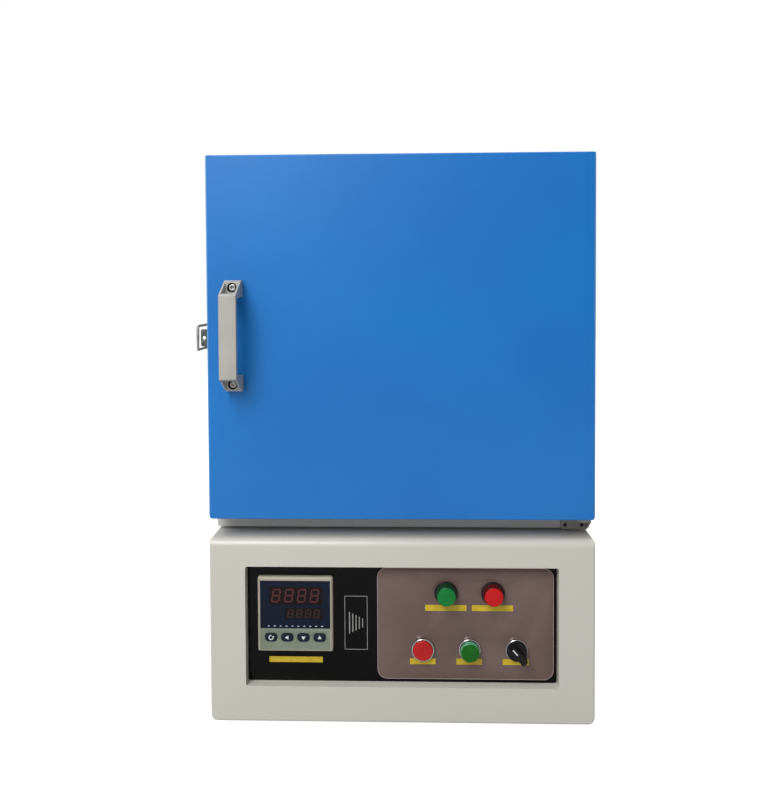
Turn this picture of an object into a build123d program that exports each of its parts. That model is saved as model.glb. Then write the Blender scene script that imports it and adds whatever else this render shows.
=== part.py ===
"""Bench muffle furnace: a hinged blue door and a grey upper body over a control cabinet.

Millimetres. While a piece is drawn, X runs to the right from the middle plane, Y runs back from the
door's front face and Z runs up from the table. place() then moves it so that the origin is the middle
of the rectangle that the furnace covers on the table.
"""
from build123d import *
import math
import os

# Overall sizes, sheet metal and clearances
WIDTH = 486.0
SHEET = 1.5
FIT = 0.3
RUNNING = 0.08
OVERCUT = 1.0
CABINET_HEIGHT = 234.0
BODY_GAP = 3.0
BODY_HEIGHT = 479.0
BODY_SETBACK = 44.0
BODY_BEND = 4.0
FRONT_FRAME_THICKNESS = 2.0
WIRING_ROOM = 124.0

# Cabinet: bends, openings, feet
CABINET_UPRIGHT_BEND = 3.0
CABINET_SIDE_BEND = 4.0
CABINET_TOP_BEND = 10.0
CABINET_UNDER_BEND = 3.5
CABINET_LOW_CORNER = 11.0
FLOOR_LAP = 24.0
FLOOR_FLANGE = 14.0
SLOT_WIDTH = 6.0
SLOT_LENGTH = 46.0
SLOT_PITCH = 16.0
SLOT_COUNT = 10
CABINET_SLOT_RISE = 60.0
FLOOR_SLOT_PITCH = 24.0
FLOOR_SLOT_DEPTH = 200.0
FOOT_HEIGHT = 9.0
FOOT_RADIUS = 14.0
FOOT_TAPER = 2.0
FOOT_NECK_RADIUS = 7.0
FOOT_SCREW_RADIUS = 2.5
FOOT_SCREW_END = 5.0
FOOT_FROM_SIDE = 48.0
FOOT_FROM_END = 60.0
SPACER_RADIUS = 15.0

# Window in the cabinet's front, dark panel and button plate behind it
WINDOW_WIDTH = 395.0
WINDOW_HEIGHT = 153.0
WINDOW_RISE = 122.6
WINDOW_RETURN = 15.0
WINDOW_CORNER = 3.0
PANEL_THICKNESS = 3.0
PANEL_LAP = 8.0
PANEL_CORNER = 4.0
PLATE_WIDTH = 224.0
PLATE_HEIGHT = 143.5
PLATE_FROM_WINDOW = 4.2
PLATE_CORNER = 12.5
PLATE_THICKNESS = 2.0
BUTTON_PITCH = 59.5
BUTTON_ROW_DROP = 32.8
BUTTON_FROM_PLATE = 58.0
LAMP_ROW_RISE = 39.5

# Controller
CONTROLLER_SIZE = 96.0
CONTROLLER_CASE = 91.0
CONTROLLER_FROM_WINDOW = 62.3
CONTROLLER_RISE = 12.8
CONTROLLER_CORNER = 2.5
CONTROLLER_BEVEL = 2.0
CONTROLLER_BEZEL_DEPTH = 8.0
CONTROLLER_FACE_RECESS = 0.8
CONTROLLER_CASE_DEPTH = 78.0
CONTROLLER_WINDOW_WIDTH = 89.6
CONTROLLER_WINDOW_HEIGHT = 61.6
CONTROLLER_WINDOW_RISE = 12.4
CONTROLLER_GLASS = 2.0
KEY_FIELD_MARGIN = 2.0
KEY_WIDTH = 15.5
KEY_HEIGHT = 10.7
KEY_CORNER = 4.6
KEY_PITCH = 20.7
KEY_DROP = 29.9
KEY_TRAVEL = 0.8
KEY_PROUD = 0.8
KEY_POCKET = 5.2
UPPER_DISPLAY = (68.1, 23.2)
LOWER_DISPLAY = (47.3, 14.5)
DISPLAY_RIGHT = 34.3
UPPER_DISPLAY_TOP = 35.4
LOWER_DISPLAY_TOP = 8.0
DISPLAY_RECESS = 0.2
CASE_VENT_COUNT = 7
CASE_VENT_PITCH = 10.0
CASE_VENT_SIZE = (4.0, 40.0, 2.0)
CASE_VENT_SETBACK = 20.0
CLAMP_WIDTH = 12.0
CLAMP_HEIGHT = 20.0
CLAMP_FOOT = 4.0
CLAMP_ARM = (5.0, 50.0, 14.0)

# Lamps, buttons and selector: 22 mm panel units
BARREL_RADIUS = 11.0
BARREL_PLAY = 0.1
BARREL_LENGTH = 23.0
STEM_RADIUS = 7.0
NUT_RADIUS = 14.5
NUT_THICKNESS = 5.0
COLLAR_RADIUS = 14.8
COLLAR_HEIGHT = 3.0
LENS_RADIUS = 13.6
LENS_HEIGHT = 11.0
LENS_TAPER = 0.6
LENS_SHOULDER = 3.0
LENS_DISC_RADIUS = 11.6
LENS_CROWN_RADIUS = 8.0
LENS_CROWN = 0.4
LAMP_BODY_RADIUS = 12.5
LAMP_BODY_LENGTH = 26.0
BUTTON_TRAVEL = 3.0
WELL_FLOOR = 1.0
BEZEL_CHAMFER = 0.6
STOP_BEZEL = (5.0, 14.5, 13.0)
START_BEZEL = (3.5, 13.9, 12.6)
SELECTOR_BEZEL = (3.5, 13.9, 12.9)
STOP_PROUD = 7.4
START_PROUD = 12.0
STOP_DOME = 0.8
START_DOME = 1.4
KNOB_HEIGHT = 6.5
LEVER_HEIGHT = 18.0
LEVER_TAIL = 10.5
LEVER_NOSE = 14.5
LEVER_TAIL_HALF = 4.2
LEVER_NOSE_HALF = 4.6
LEVER_TAIL_ROUND = 2.0
LEVER_NOSE_ROUND = 3.0
SELECTOR_ANGLE = -48.0
CONTACT_SIZE = (30.0, 40.0, 28.0)

# Electrics on the cabinet's floor
SINK_SIZE = (100.0, 120.0, 40.0)
SINK_FROM_SIDE = 28.0
SINK_DEPTH = 230.0
SINK_BASE = 6.0
SINK_FINS = 9
SINK_FIN = 3.0
RELAY_SIZE = (44.0, 58.0, 24.0)
RELAY_STEP = (14.0, 13.0, 10.0)
RAIL_LENGTH = 180.0
RAIL_FROM_MIDDLE = 40.0
RAIL_DEPTH = 300.0
RAIL_CHANNEL = 27.0
RAIL_LIP = 4.0
RAIL_HEIGHT = 7.5
RAIL_SHEET = 1.0
BREAKER_WIDTH = 36.0
BREAKER_DEPTH = 84.0
BREAKER_NOSE = 46.0
BREAKER_SHOULDER = 44.0
BREAKER_HEIGHT = 68.0
BREAKER_FROM_END = 20.0
TERMINAL_COUNT = 6
TERMINAL_PITCH = 12.0
TERMINAL_SIZE = (11.6, 48.0, 38.0)
TERMINAL_FROM_END = 80.0
TERMINAL_ENTRY = 12.0
TERMINAL_ENTRY_WALL = 2.0
TERMINAL_ENTRY_FLOOR = 24.0

# Cooling fan, rear grille and cord gland
FAN_SIZE = 92.0
FAN_CORNER = 4.0
FAN_THICKNESS = 25.0
FAN_FROM_MIDDLE = 120.0
FAN_BORE_RADIUS = 43.0
FAN_HUB_RADIUS = 19.0
FAN_SHAFT_RADIUS = 2.0
FAN_HUB_SETBACK = 2.0
MOTOR_DISC = 4.0
MOTOR_SPOKE = (3.0, 4.0)
FAN_BLADES = 7
FAN_BLADE_GAP = 1.5
FAN_BLADE_ROOT = 2.0
FAN_BLADE_THICKNESS = 2.0
FAN_BLADE_CHORD = 22.0
FAN_BLADE_PITCH = 38.0
GRILLE_SLOTS = 7
GRILLE_PITCH = 11.0
GRILLE_SLOT = 6.0
GRILLE_RIM = 3.0
GRILLE_POST = 5.0
REAR_SLOT_WIDTH = 5.0
REAR_SLOT_PITCH = 12.0
REAR_SLOTS_FROM_MIDDLE = 60.0
REAR_SLOT_RISE = 137.0
GLAND_FROM_SIDE = 73.0
GLAND_RISE = 45.0
GLAND_RADIUS = 11.0
GLAND_BORE = 5.5
GLAND_REACH = 18.0
GLAND_INSIDE = 14.0
GLAND_HEX = 15.0
GLAND_HEX_HEIGHT = 6.0
GLAND_CAP_RADIUS = 12.0
GLAND_CAP_TAPER = (3.0, 5.0)

# Upper body: louvres and slots
BODY_SLOT_DROP = 150.0
BODY_SLOT_FROM_BACK = 210.0
LOUVRE_COUNT = 8
LOUVRE_PITCH = 18.0
LOUVRE_LENGTH = 150.0
LOUVRE_HEIGHT = 9.0
LOUVRE_PROUD = 5.0
LOUVRE_RISE = 40.0
LOUVRE_FROM_MIDDLE = 110.0
LINER_RAIL_WIDTH = 20.0
LINER_RAIL_FROM_MIDDLE = 150.0
LINER_RAIL_SETBACK = 26.0

# Chamber, insulation, elements, flue and probe
CHAMBER_WIDTH = 200.0
CHAMBER_HEIGHT = 200.0
CHAMBER_DEPTH = 250.0
MUFFLE_WALL = 30.0
MUFFLE_RECESS = 0.5
INSULATION_WALL = 65.0
REAR_WALL = 90.0
HEARTH_THICKNESS = 8.0
HEARTH_PLAY = 5.0
ELEMENT_RADIUS = 2.5
ELEMENT_PASSES = 6
ELEMENT_PITCH = 28.0
ELEMENT_CLEARANCE = 5.0
ELEMENT_TAIL = 40.0
POCKET_DEPTH = 8.0
POCKET_MARGIN = 8.0
POCKET_SETBACK = 8.0
LEDGE_END_ROOM = 24.0
LEDGE_GAP = 4.0
INSULATOR_RADIUS = 9.0
INSULATOR_LENGTH = 14.0
TERMINAL_CLAMP = (14.0, 16.0)
TERMINAL_CLAMP_GAP = 4.0
FLUE_BORE = 8.0
FLUE_WALL = 4.0
FLUE_SETBACK = 186.0
FLUE_TUBE_DROP = 4.0
FLUE_COLLAR_HEIGHT = 14.0
FLUE_COLLAR_RADIUS = 20.0
FLUE_FLANGE_WIDTH = 10.0
FLUE_FLANGE_THICKNESS = 2.0
PROBE_RADIUS = 3.0
PROBE_REACH = 30.0
PROBE_RISE = 60.0
PROBE_STEPS = ((9.0, 0.0, 8.0), (17.0, 28.0, 54.0), (19.0, 54.0, 62.0))

# Door, plug and gasket
DOOR_LIFT = 22.5
DOOR_HEIGHT = 458.0
DOOR_THICKNESS = 38.0
DOOR_EDGE_BEND = 3.0
DOOR_FOLD_FROM_EDGE = 13.5
DOOR_FOLD_FALL = 0.7
DOOR_TOP_BEND = 2.0
DOOR_LOW_CORNER = 6.0
DOOR_HIGH_CORNER = 3.5
DOOR_NOTCH_DEPTH = 7.0
PLUG_CLEARANCE = 6.0
PLUG_TAPER = 2.0
PLUG_LENGTH = 42.0
GASKET_WIDTH = 18.0
GASKET_OPENING = 270.0
GASKET_CORNER = 10.0

# Hinges
HINGE_FROM_EDGE = 10.0
HINGE_DEPTH = 22.0
HINGE_PIN_RADIUS = 4.5
HINGE_PIN_END = 2.0
HINGE_LUG_RADIUS = 8.5
HINGE_LUG_THICKNESS = 4.0
HINGE_PLATE_THICKNESS = 2.0
HINGE_PLATE_WIDTH = 35.0
HINGE_PLATE_HEIGHT = 21.6
HINGE_PLATE_CORNER = 3.0
HINGE_PLATE_FROM_SIDE = 1.0
HINGE_WASHER = 2.2
HINGE_WASHER_RADIUS = 7.0
HINGE_UPPER_DROP = 22.0
HINGE_UPPER_MARGIN = 8.0
HINGE_BUSH_HEIGHT = 15.0
HINGE_BUSH_RADIUS = 8.0
HINGE_BUSH_MARGIN = 6.0
HINGE_GUSSET = 2.5
GUSSET_REACH = 4.0
LUG_ROOM = 3.0
BRACKET_SCREW_RADIUS = 1.6
BRACKET_HEAD_RADIUS = 2.3
BRACKET_HEAD_HEIGHT = 0.6
BRACKET_SCREW_END = 6.0
BRACKET_SCREW_RISE = 4.5
BRACKET_SCREW_PLACES = (-20.0, 1.6)

# Handle
HANDLE_FROM_EDGE = 35.8
HANDLE_RISE = 232.3
HANDLE_LENGTH = 138.4
HANDLE_BAR_LENGTH = 101.6
HANDLE_WIDTH = 21.0
HANDLE_REACH = 40.0
HANDLE_BAR_THICKNESS = 7.0
HANDLE_LEG_WALL = 1.5
HANDLE_LEG_SLOPE = 3.0
HANDLE_EDGE_ROUND = 2.0
HANDLE_FOOT_ROUND = 1.0
HANDLE_SCREW_SPACING = 120.0
HANDLE_SCREW_RADIUS = 2.5
HANDLE_SCREW_END = 12.0
HANDLE_SCREW_ROOM = 1.5
HANDLE_END_FACE = 8.0
HANDLE_RIM = 2.2
HANDLE_POCKET_FLOOR = 13.0
HEAD_SEAT = 6.0
HEAD_RADIUS = 4.3
HEAD_HEIGHT = 5.0
HEAD_ROOM = 1.7
SOCKET_RADIUS = 2.3
SOCKET_DEPTH = 3.0

# Latch on the left side
LATCH_DROP = 3.5
LATCH_REACH = 15.0
LATCH_HEIGHT = 33.0
LATCH_BAR = 3.0
LATCH_BAR_DEPTH = 10.0
LATCH_PIVOT_DEPTH = 78.0
LATCH_PIN_RADIUS = 2.0
LATCH_PIN_END = 1.5
LATCH_EYE_WALL = 2.2
LATCH_EYE_SETBACK = 3.0
LATCH_BASE_PLATE = 2.0
LATCH_BASE_LENGTH = 44.0
LATCH_EAR_THICKNESS = 2.0
LATCH_EAR_ROOT = 12.0
LATCH_EAR_TIP = 5.0
LATCH_EAR_ROUND = 3.0
KEEPER_HEIGHT = 22.0
KEEPER_REACH = 10.6
KEEPER_DEPTH = 13.0
KEEPER_THICKNESS = 2.0
KEEPER_CORNER = 2.0
KEEPER_EYE_RADIUS = 2.3
KEEPER_EYE_FROM_TIP = 4.2
KEEPER_FROM_BACK = 4.0

# Levels and depths that follow
side = WIDTH / 2
cabinet_low = FOOT_HEIGHT
cabinet_top = cabinet_low + CABINET_HEIGHT
body_low = cabinet_top + BODY_GAP
body_top = body_low + BODY_HEIGHT
door_low = body_low + DOOR_LIFT
door_top = door_low + DOOR_HEIGHT
chamber_z = (door_low + door_top) / 2
frame_back = BODY_SETBACK + FRONT_FRAME_THICKNESS
muffle_front = BODY_SETBACK + MUFFLE_RECESS
chamber_back = muffle_front + CHAMBER_DEPTH
muffle_back = chamber_back + MUFFLE_WALL
liner_back = muffle_back + REAR_WALL + SHEET
full_depth = liner_back + WIRING_ROOM
sheet_back = full_depth - SHEET
origin_shift = (LATCH_REACH / 2, (HANDLE_REACH - full_depth - GLAND_REACH) / 2, 0)

PARTS = {}


def place(name, *solids):
    """Move the drawn solids into the furnace's own frame and keep them under a node's name."""
    PARTS[name] = [Pos(*origin_shift) * s for s in solids]


def span(middle, length):
    """Low and high value of a length about its middle."""
    return (middle - length / 2, middle + length / 2)


def grown(low_high, by):
    """The same span, longer by a margin at both ends."""
    return (low_high[0] - by, low_high[1] + by)


def block(xs, ys, zs):
    """A box between two values on each axis, given in either order."""
    size = [abs(b - a) for a, b in (xs, ys, zs)]
    middle = [(a + b) / 2 for a, b in (xs, ys, zs)]
    return Pos(*middle) * Box(*size)


def rod_y(x, z, radius, ys):
    """A round rod from front to back."""
    return Pos(x, (ys[0] + ys[1]) / 2, z) * Rot(90, 0, 0) * Cylinder(radius, ys[1] - ys[0])


def rod_z(x, y, radius, zs):
    """A round upright rod."""
    return Pos(x, y, (zs[0] + zs[1]) / 2) * Cylinder(radius, zs[1] - zs[0])


def outline(*corners):
    """A flat face through corners given as (u, v, corner radius)."""
    face = Polygon(*[(u, v) for u, v, r in corners], align=None)
    for u, v, r in corners:
        if r > 0:
            face = fillet(face.vertices().sort_by_distance((u, v, 0))[0], r)
    return face


def rectangle(us, vs, low_radius=0, high_radius=0):
    """A rectangle with one radius on its two low corners and one on its two high corners."""
    low, high = low_radius, high_radius
    return outline((us[0], vs[0], low), (us[1], vs[0], low), (us[1], vs[1], high), (us[0], vs[1], high))


def prism_xz(face, ys):
    """Extrude a face drawn in X and Z from front to back."""
    return extrude(Plane.XZ.offset(-ys[0]) * face, amount=ys[1] - ys[0], dir=(0, 1, 0))


def prism_yz(face, xs):
    """Extrude a face drawn in Y and Z from left to right."""
    return extrude(Plane.YZ.offset(xs[0]) * face, amount=xs[1] - xs[0], dir=(1, 0, 0))


def prism_xy(face, zs):
    """Extrude a face drawn in X and Y upwards."""
    return extrude(Plane.XY.offset(zs[0]) * face, amount=zs[1] - zs[0], dir=(0, 0, 1))


def turned_y(x, z, profile):
    """Turn a profile of (radius, depth) points about an axis that runs from front to back."""
    return Pos(x, 0, z) * revolve(Plane.XY * Polygon(*profile, align=None), Axis.Y)


def row_of(count, pitch, middle=0.0):
    """Evenly spaced places about a middle."""
    return [middle + (i - (count - 1) / 2) * pitch for i in range(count)]


# Cabinet shell: front, top, sides and lower lips folded from one sheet, with slots in both sides
def cabinet_hull(inset, ys):
    """The cabinet's outside, or its inside when inset by the sheet, where the upright bends stay sharp."""
    xs = grown((-side, side), -inset)
    zs = grown((cabinet_low, cabinet_top), -inset)
    from_front = prism_xz(rectangle(xs, zs, CABINET_LOW_CORNER - inset, CABINET_SIDE_BEND - inset), ys)
    under_bend = (ys[0], zs[0], CABINET_UNDER_BEND - inset)
    top_bend = (ys[0], zs[1], CABINET_TOP_BEND - inset)
    hull = from_front & prism_yz(outline(under_bend, (ys[1], zs[0], 0), (ys[1], zs[1], 0), top_bend), xs)
    if inset > 0:
        return hull
    return hull & prism_xy(rectangle(xs, ys, CABINET_UPRIGHT_BEND, 0), zs)


window_z = span(cabinet_low + WINDOW_RISE, WINDOW_HEIGHT)
window_x = span(0, WINDOW_WIDTH)
cabinet = cabinet_hull(0, (0, sheet_back)) - cabinet_hull(SHEET, (SHEET, sheet_back + OVERCUT))
low_cut = span(cabinet_low, 2 * SHEET + OVERCUT)
cabinet -= block(grown((-side, side), -FLOOR_LAP), (FLOOR_LAP, sheet_back + OVERCUT), low_cut)
return_corner = WINDOW_CORNER + SHEET
return_face = rectangle(grown(window_x, SHEET), grown(window_z, SHEET), return_corner, return_corner)
cabinet += prism_xz(return_face, (SHEET / 2, WINDOW_RETURN))
window_face = rectangle(window_x, window_z, WINDOW_CORNER, WINDOW_CORNER)
cabinet -= prism_xz(window_face, (-OVERCUT, WINDOW_RETURN + OVERCUT))
cabinet_slot_z = (cabinet_low + CABINET_SLOT_RISE, cabinet_low + CABINET_SLOT_RISE + SLOT_LENGTH)
for slot_y in row_of(SLOT_COUNT, SLOT_PITCH, full_depth / 2):
    for x in (-side, side):
        cabinet -= block(span(x, 4 * SHEET), span(slot_y, SLOT_WIDTH), cabinet_slot_z)
place("cabinet_shell", cabinet)

# Cabinet floor: a tray on the shell's lower lips, with slots and the four feet screwed to it
floor_z = (cabinet_low + SHEET, cabinet_low + 2 * SHEET)
floor_x = grown((-side, side), -CABINET_LOW_CORNER)
floor_y = (CABINET_LOW_CORNER, sheet_back - FIT)
floor_top = floor_z[1]
tray = block(floor_x, floor_y, floor_z)
for x, inward in zip(floor_x, (SHEET, -SHEET)):
    tray += block((x, x + inward), floor_y, (floor_z[0], floor_z[0] + FLOOR_FLANGE))
for slot_x in row_of(SLOT_COUNT, FLOOR_SLOT_PITCH):
    slot_y = (FLOOR_SLOT_DEPTH, FLOOR_SLOT_DEPTH + SLOT_LENGTH)
    tray -= block(span(slot_x, SLOT_WIDTH), slot_y, grown(floor_z, OVERCUT))
foot_x = grown((-side, side), -FOOT_FROM_SIDE)
feet = []
for x in foot_x:
    for y in (FOOT_FROM_END, full_depth - FOOT_FROM_END):
        foot = Pos(x, y, FOOT_HEIGHT / 2) * Cone(FOOT_RADIUS - FOOT_TAPER, FOOT_RADIUS, FOOT_HEIGHT)
        foot += rod_z(x, y, FOOT_NECK_RADIUS, (FOOT_HEIGHT, floor_z[0]))
        foot += rod_z(x, y, FOOT_SCREW_RADIUS, (FOOT_HEIGHT, floor_top + FOOT_SCREW_END))
        tray -= rod_z(x, y, FOOT_SCREW_RADIUS, grown(floor_z, OVERCUT))
        feet.append(foot)
place("cabinet_floor", tray)
place("rubber_feet", *feet)

# Cabinet rear panel: round fan grille, a row of slots and the gland's hole
rear_ys = (sheet_back, full_depth)
rear_cut = grown(rear_ys, OVERCUT)
fan_x = -FAN_FROM_MIDDLE
fan_z = cabinet_low + CABINET_HEIGHT / 2
gland_x = side - GLAND_FROM_SIDE
gland_z = cabinet_low + GLAND_RISE
rear_face = rectangle((-side, side), (cabinet_low, cabinet_top), CABINET_LOW_CORNER, CABINET_SIDE_BEND)
rear = prism_xz(rear_face, rear_ys)
for z in row_of(GRILLE_SLOTS, GRILLE_PITCH, fan_z):
    half = math.sqrt((FAN_BORE_RADIUS - GRILLE_RIM) ** 2 - (z - fan_z) ** 2)
    for outward in (-1, 1):
        ends = (fan_x + outward * GRILLE_POST / 2, fan_x + outward * half)
        rear -= block(ends, rear_cut, span(z, GRILLE_SLOT))
rear_slot_z = (cabinet_low + REAR_SLOT_RISE, cabinet_low + REAR_SLOT_RISE + SLOT_LENGTH)
for slot_x in row_of(SLOT_COUNT, REAR_SLOT_PITCH, REAR_SLOTS_FROM_MIDDLE):
    rear -= block(span(slot_x, REAR_SLOT_WIDTH), rear_cut, rear_slot_z)
rear -= rod_y(gland_x, gland_z, GLAND_RADIUS, rear_cut)
place("cabinet_rear_panel", rear)

# Spacers that carry the upper body on the cabinet
spacer_y = (BODY_SETBACK + FOOT_FROM_END, full_depth - FOOT_FROM_END)
spacers = [rod_z(x, y, SPACER_RADIUS, (cabinet_top, body_low)) for x in foot_x for y in spacer_y]
place("body_spacers", *spacers)

# Dark glossy panel behind the window, with the lighter button plate on it
panel_front = WINDOW_RETURN
panel_back = panel_front + PANEL_THICKNESS
plate_front = panel_front - PLATE_THICKNESS
plate_z = cabinet_low + WINDOW_RISE
plate_right = WINDOW_WIDTH / 2 - PLATE_FROM_WINDOW
plate_x = (plate_right - PLATE_WIDTH, plate_right)
button_z = plate_z - BUTTON_ROW_DROP
lamp_z = plate_z + LAMP_ROW_RISE
button_x = [plate_x[0] + BUTTON_FROM_PLATE + i * BUTTON_PITCH for i in range(3)]
lamp_x = [x + BUTTON_PITCH / 2 for x in button_x[:2]]
unit_places = [(x, button_z) for x in button_x] + [(x, lamp_z) for x in lamp_x]
controller_x = -WINDOW_WIDTH / 2 + CONTROLLER_FROM_WINDOW
controller_z = plate_z + CONTROLLER_RISE
case_x = span(controller_x, CONTROLLER_CASE)
case_z = span(controller_z, CONTROLLER_CASE)

panel_face = rectangle(grown(window_x, PANEL_LAP), grown(window_z, PANEL_LAP), PANEL_CORNER, PANEL_CORNER)
panel = prism_xz(panel_face, (panel_front, panel_back))
panel -= block(grown(case_x, FIT), grown((panel_front, panel_back), OVERCUT), grown(case_z, FIT))
plate_face = rectangle(plate_x, span(plate_z, PLATE_HEIGHT), PLATE_CORNER, PLATE_CORNER)
plate = prism_xz(plate_face, (plate_front, panel_front))
for x, z in unit_places:
    hole = rod_y(x, z, BARREL_RADIUS, grown((plate_front, panel_back), OVERCUT))
    plate -= hole
    panel -= hole
place("control_panel", panel)
place("button_plate", plate)

# Controller: bevelled bezel with a window and four keys, a vented case through the panel, two clamps
bezel_front = panel_front - CONTROLLER_BEZEL_DEPTH
face_depth = bezel_front + CONTROLLER_FACE_RECESS
glass_ys = (face_depth, face_depth + CONTROLLER_GLASS)
bezel_z = span(controller_z, CONTROLLER_SIZE)
glass_x = span(controller_x, CONTROLLER_WINDOW_WIDTH)
glass_z = span(controller_z + CONTROLLER_WINDOW_RISE, CONTROLLER_WINDOW_HEIGHT)
key_z = controller_z - KEY_DROP
bezel_face = rectangle(span(controller_x, CONTROLLER_SIZE), bezel_z, CONTROLLER_CORNER, CONTROLLER_CORNER)
bezel = prism_xz(bezel_face, (bezel_front, panel_front))
bezel = chamfer(bezel.faces().sort_by(Axis.Y)[0].edges(), CONTROLLER_BEVEL)
bezel -= block(glass_x, (bezel_front - OVERCUT, glass_ys[1]), glass_z)
key_field_z = (bezel_z[0] + KEY_FIELD_MARGIN, glass_z[0])
bezel -= block(glass_x, (bezel_front - OVERCUT, face_depth), key_field_z)
key_ys = (face_depth - KEY_PROUD, face_depth + KEY_POCKET - KEY_TRAVEL - FIT)
for name, x in zip(("key_set", "key_shift", "key_down", "key_up"), row_of(4, KEY_PITCH, controller_x)):
    key_x = span(x, KEY_WIDTH)
    key_zs = span(key_z, KEY_HEIGHT)
    pocket_corner = KEY_CORNER + FIT
    pocket = rectangle(grown(key_x, FIT), grown(key_zs, FIT), pocket_corner, pocket_corner)
    bezel -= prism_xz(pocket, (bezel_front - OVERCUT, face_depth + KEY_POCKET))
    place(name, prism_xz(rectangle(key_x, key_zs, KEY_CORNER, KEY_CORNER), key_ys))
place("controller_bezel", bezel)

glass = block(glass_x, glass_ys, glass_z)
displays = []
for (width, height), top in ((UPPER_DISPLAY, UPPER_DISPLAY_TOP), (LOWER_DISPLAY, LOWER_DISPLAY_TOP)):
    display_x = (controller_x + DISPLAY_RIGHT - width, controller_x + DISPLAY_RIGHT)
    display_z = (controller_z + top - height, controller_z + top)
    glass -= block(display_x, grown(glass_ys, OVERCUT), display_z)
    displays.append(block(display_x, (glass_ys[0] + DISPLAY_RECESS, glass_ys[1]), display_z))
place("controller_window", glass)
place("display_blocks", *displays)

case = block(case_x, (panel_front, panel_front + CONTROLLER_CASE_DEPTH), case_z)
vent_ys = (panel_front + CASE_VENT_SETBACK, panel_front + CASE_VENT_SETBACK + CASE_VENT_SIZE[1])
for vent_x in row_of(CASE_VENT_COUNT, CASE_VENT_PITCH, controller_x):
    for z in case_z:
        case -= block(span(vent_x, CASE_VENT_SIZE[0]), vent_ys, span(z, 2 * CASE_VENT_SIZE[2]))
place("controller_case", case)
clamps = []
for x, outward in zip(case_x, (-1, 1)):
    foot_ys = (panel_back, panel_back + CLAMP_FOOT)
    arm_ys = (panel_back, panel_back + CLAMP_ARM[1])
    clamp = block((x, x + outward * CLAMP_WIDTH), foot_ys, span(controller_z, CLAMP_HEIGHT))
    clamp += block((x, x + outward * CLAMP_ARM[0]), arm_ys, span(controller_z, CLAMP_ARM[2]))
    clamps.append(clamp)
place("controller_clamps", *clamps)

# Pilot lamps: black collar and barrel, crowned lens in front, lamp body behind
barrel_back = plate_front + BARREL_LENGTH
barrel = BARREL_RADIUS - BARREL_PLAY
lens_base = plate_front - COLLAR_HEIGHT
lens_top = lens_base - LENS_HEIGHT
lens_profile = [
    (0, lens_base),
    (LENS_RADIUS, lens_base),
    (LENS_RADIUS - LENS_TAPER, lens_top + LENS_SHOULDER),
    (LENS_DISC_RADIUS, lens_top + LENS_TAPER),
    (LENS_CROWN_RADIUS, lens_top),
    (0, lens_top - LENS_CROWN),
]
collars = []
lamp_bodies = []
for x, name in zip(lamp_x, ("green_lamp_lens", "red_lamp_lens")):
    collar = rod_y(x, lamp_z, COLLAR_RADIUS, (lens_base, plate_front))
    collars.append(collar + rod_y(x, lamp_z, barrel, (plate_front, barrel_back)))
    lamp_bodies.append(rod_y(x, lamp_z, LAMP_BODY_RADIUS, (barrel_back, barrel_back + LAMP_BODY_LENGTH)))
    place(name, turned_y(x, lamp_z, lens_profile))
place("lamp_collars", *collars)
place("lamp_bodies", *lamp_bodies)

# Bezels of the two buttons and the selector, the nuts behind the panel, the contact blocks
bezel_rings = []
for x, (height, radius, well) in zip(button_x, (STOP_BEZEL, START_BEZEL, SELECTOR_BEZEL)):
    ring_front = plate_front - height
    ring = rod_y(x, button_z, radius, (ring_front, plate_front))
    ring = chamfer(ring.edges().sort_by(Axis.Y)[0], BEZEL_CHAMFER)
    ring -= rod_y(x, button_z, well, (ring_front - OVERCUT, plate_front - WELL_FLOOR))
    ring += rod_y(x, button_z, barrel, (plate_front - WELL_FLOOR, barrel_back))
    ring -= rod_y(x, button_z, STEM_RADIUS + RUNNING, grown((ring_front, barrel_back), OVERCUT))
    bezel_rings.append(ring)
place("button_bezels", *bezel_rings)

nuts = []
for x, z in unit_places:
    nut = rod_y(x, z, NUT_RADIUS, (panel_back, panel_back + NUT_THICKNESS))
    nuts.append(nut - rod_y(x, z, BARREL_RADIUS, grown((panel_back, panel_back + NUT_THICKNESS), OVERCUT)))
place("panel_nuts", *nuts)

contacts = []
for x in button_x:
    contact_ys = (barrel_back, barrel_back + CONTACT_SIZE[1])
    contacts.append(block(span(x, CONTACT_SIZE[0]), contact_ys, span(button_z, CONTACT_SIZE[2])))
place("contact_blocks", *contacts)


def push_button(x, cap_radius, proud, dome):
    """A cap on a stem that slides in the barrel; the cap stops short of the well's floor."""
    cap_back = plate_front - WELL_FLOOR - BUTTON_TRAVEL - FIT
    cap_front = plate_front - proud
    rim = [(cap_radius, cap_back), (cap_radius, cap_front + dome), (cap_radius - dome, cap_front)]
    cap = turned_y(x, button_z, [(0, cap_back), *rim, (0, cap_front)])
    return cap + rod_y(x, button_z, STEM_RADIUS, (cap_back, barrel_back - BUTTON_TRAVEL - FIT))


place("stop_button", push_button(button_x[0], STOP_BEZEL[2] - FIT, STOP_PROUD, STOP_DOME))
place("start_button", push_button(button_x[1], START_BEZEL[2] - FIT, START_PROUD, START_DOME))

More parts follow.
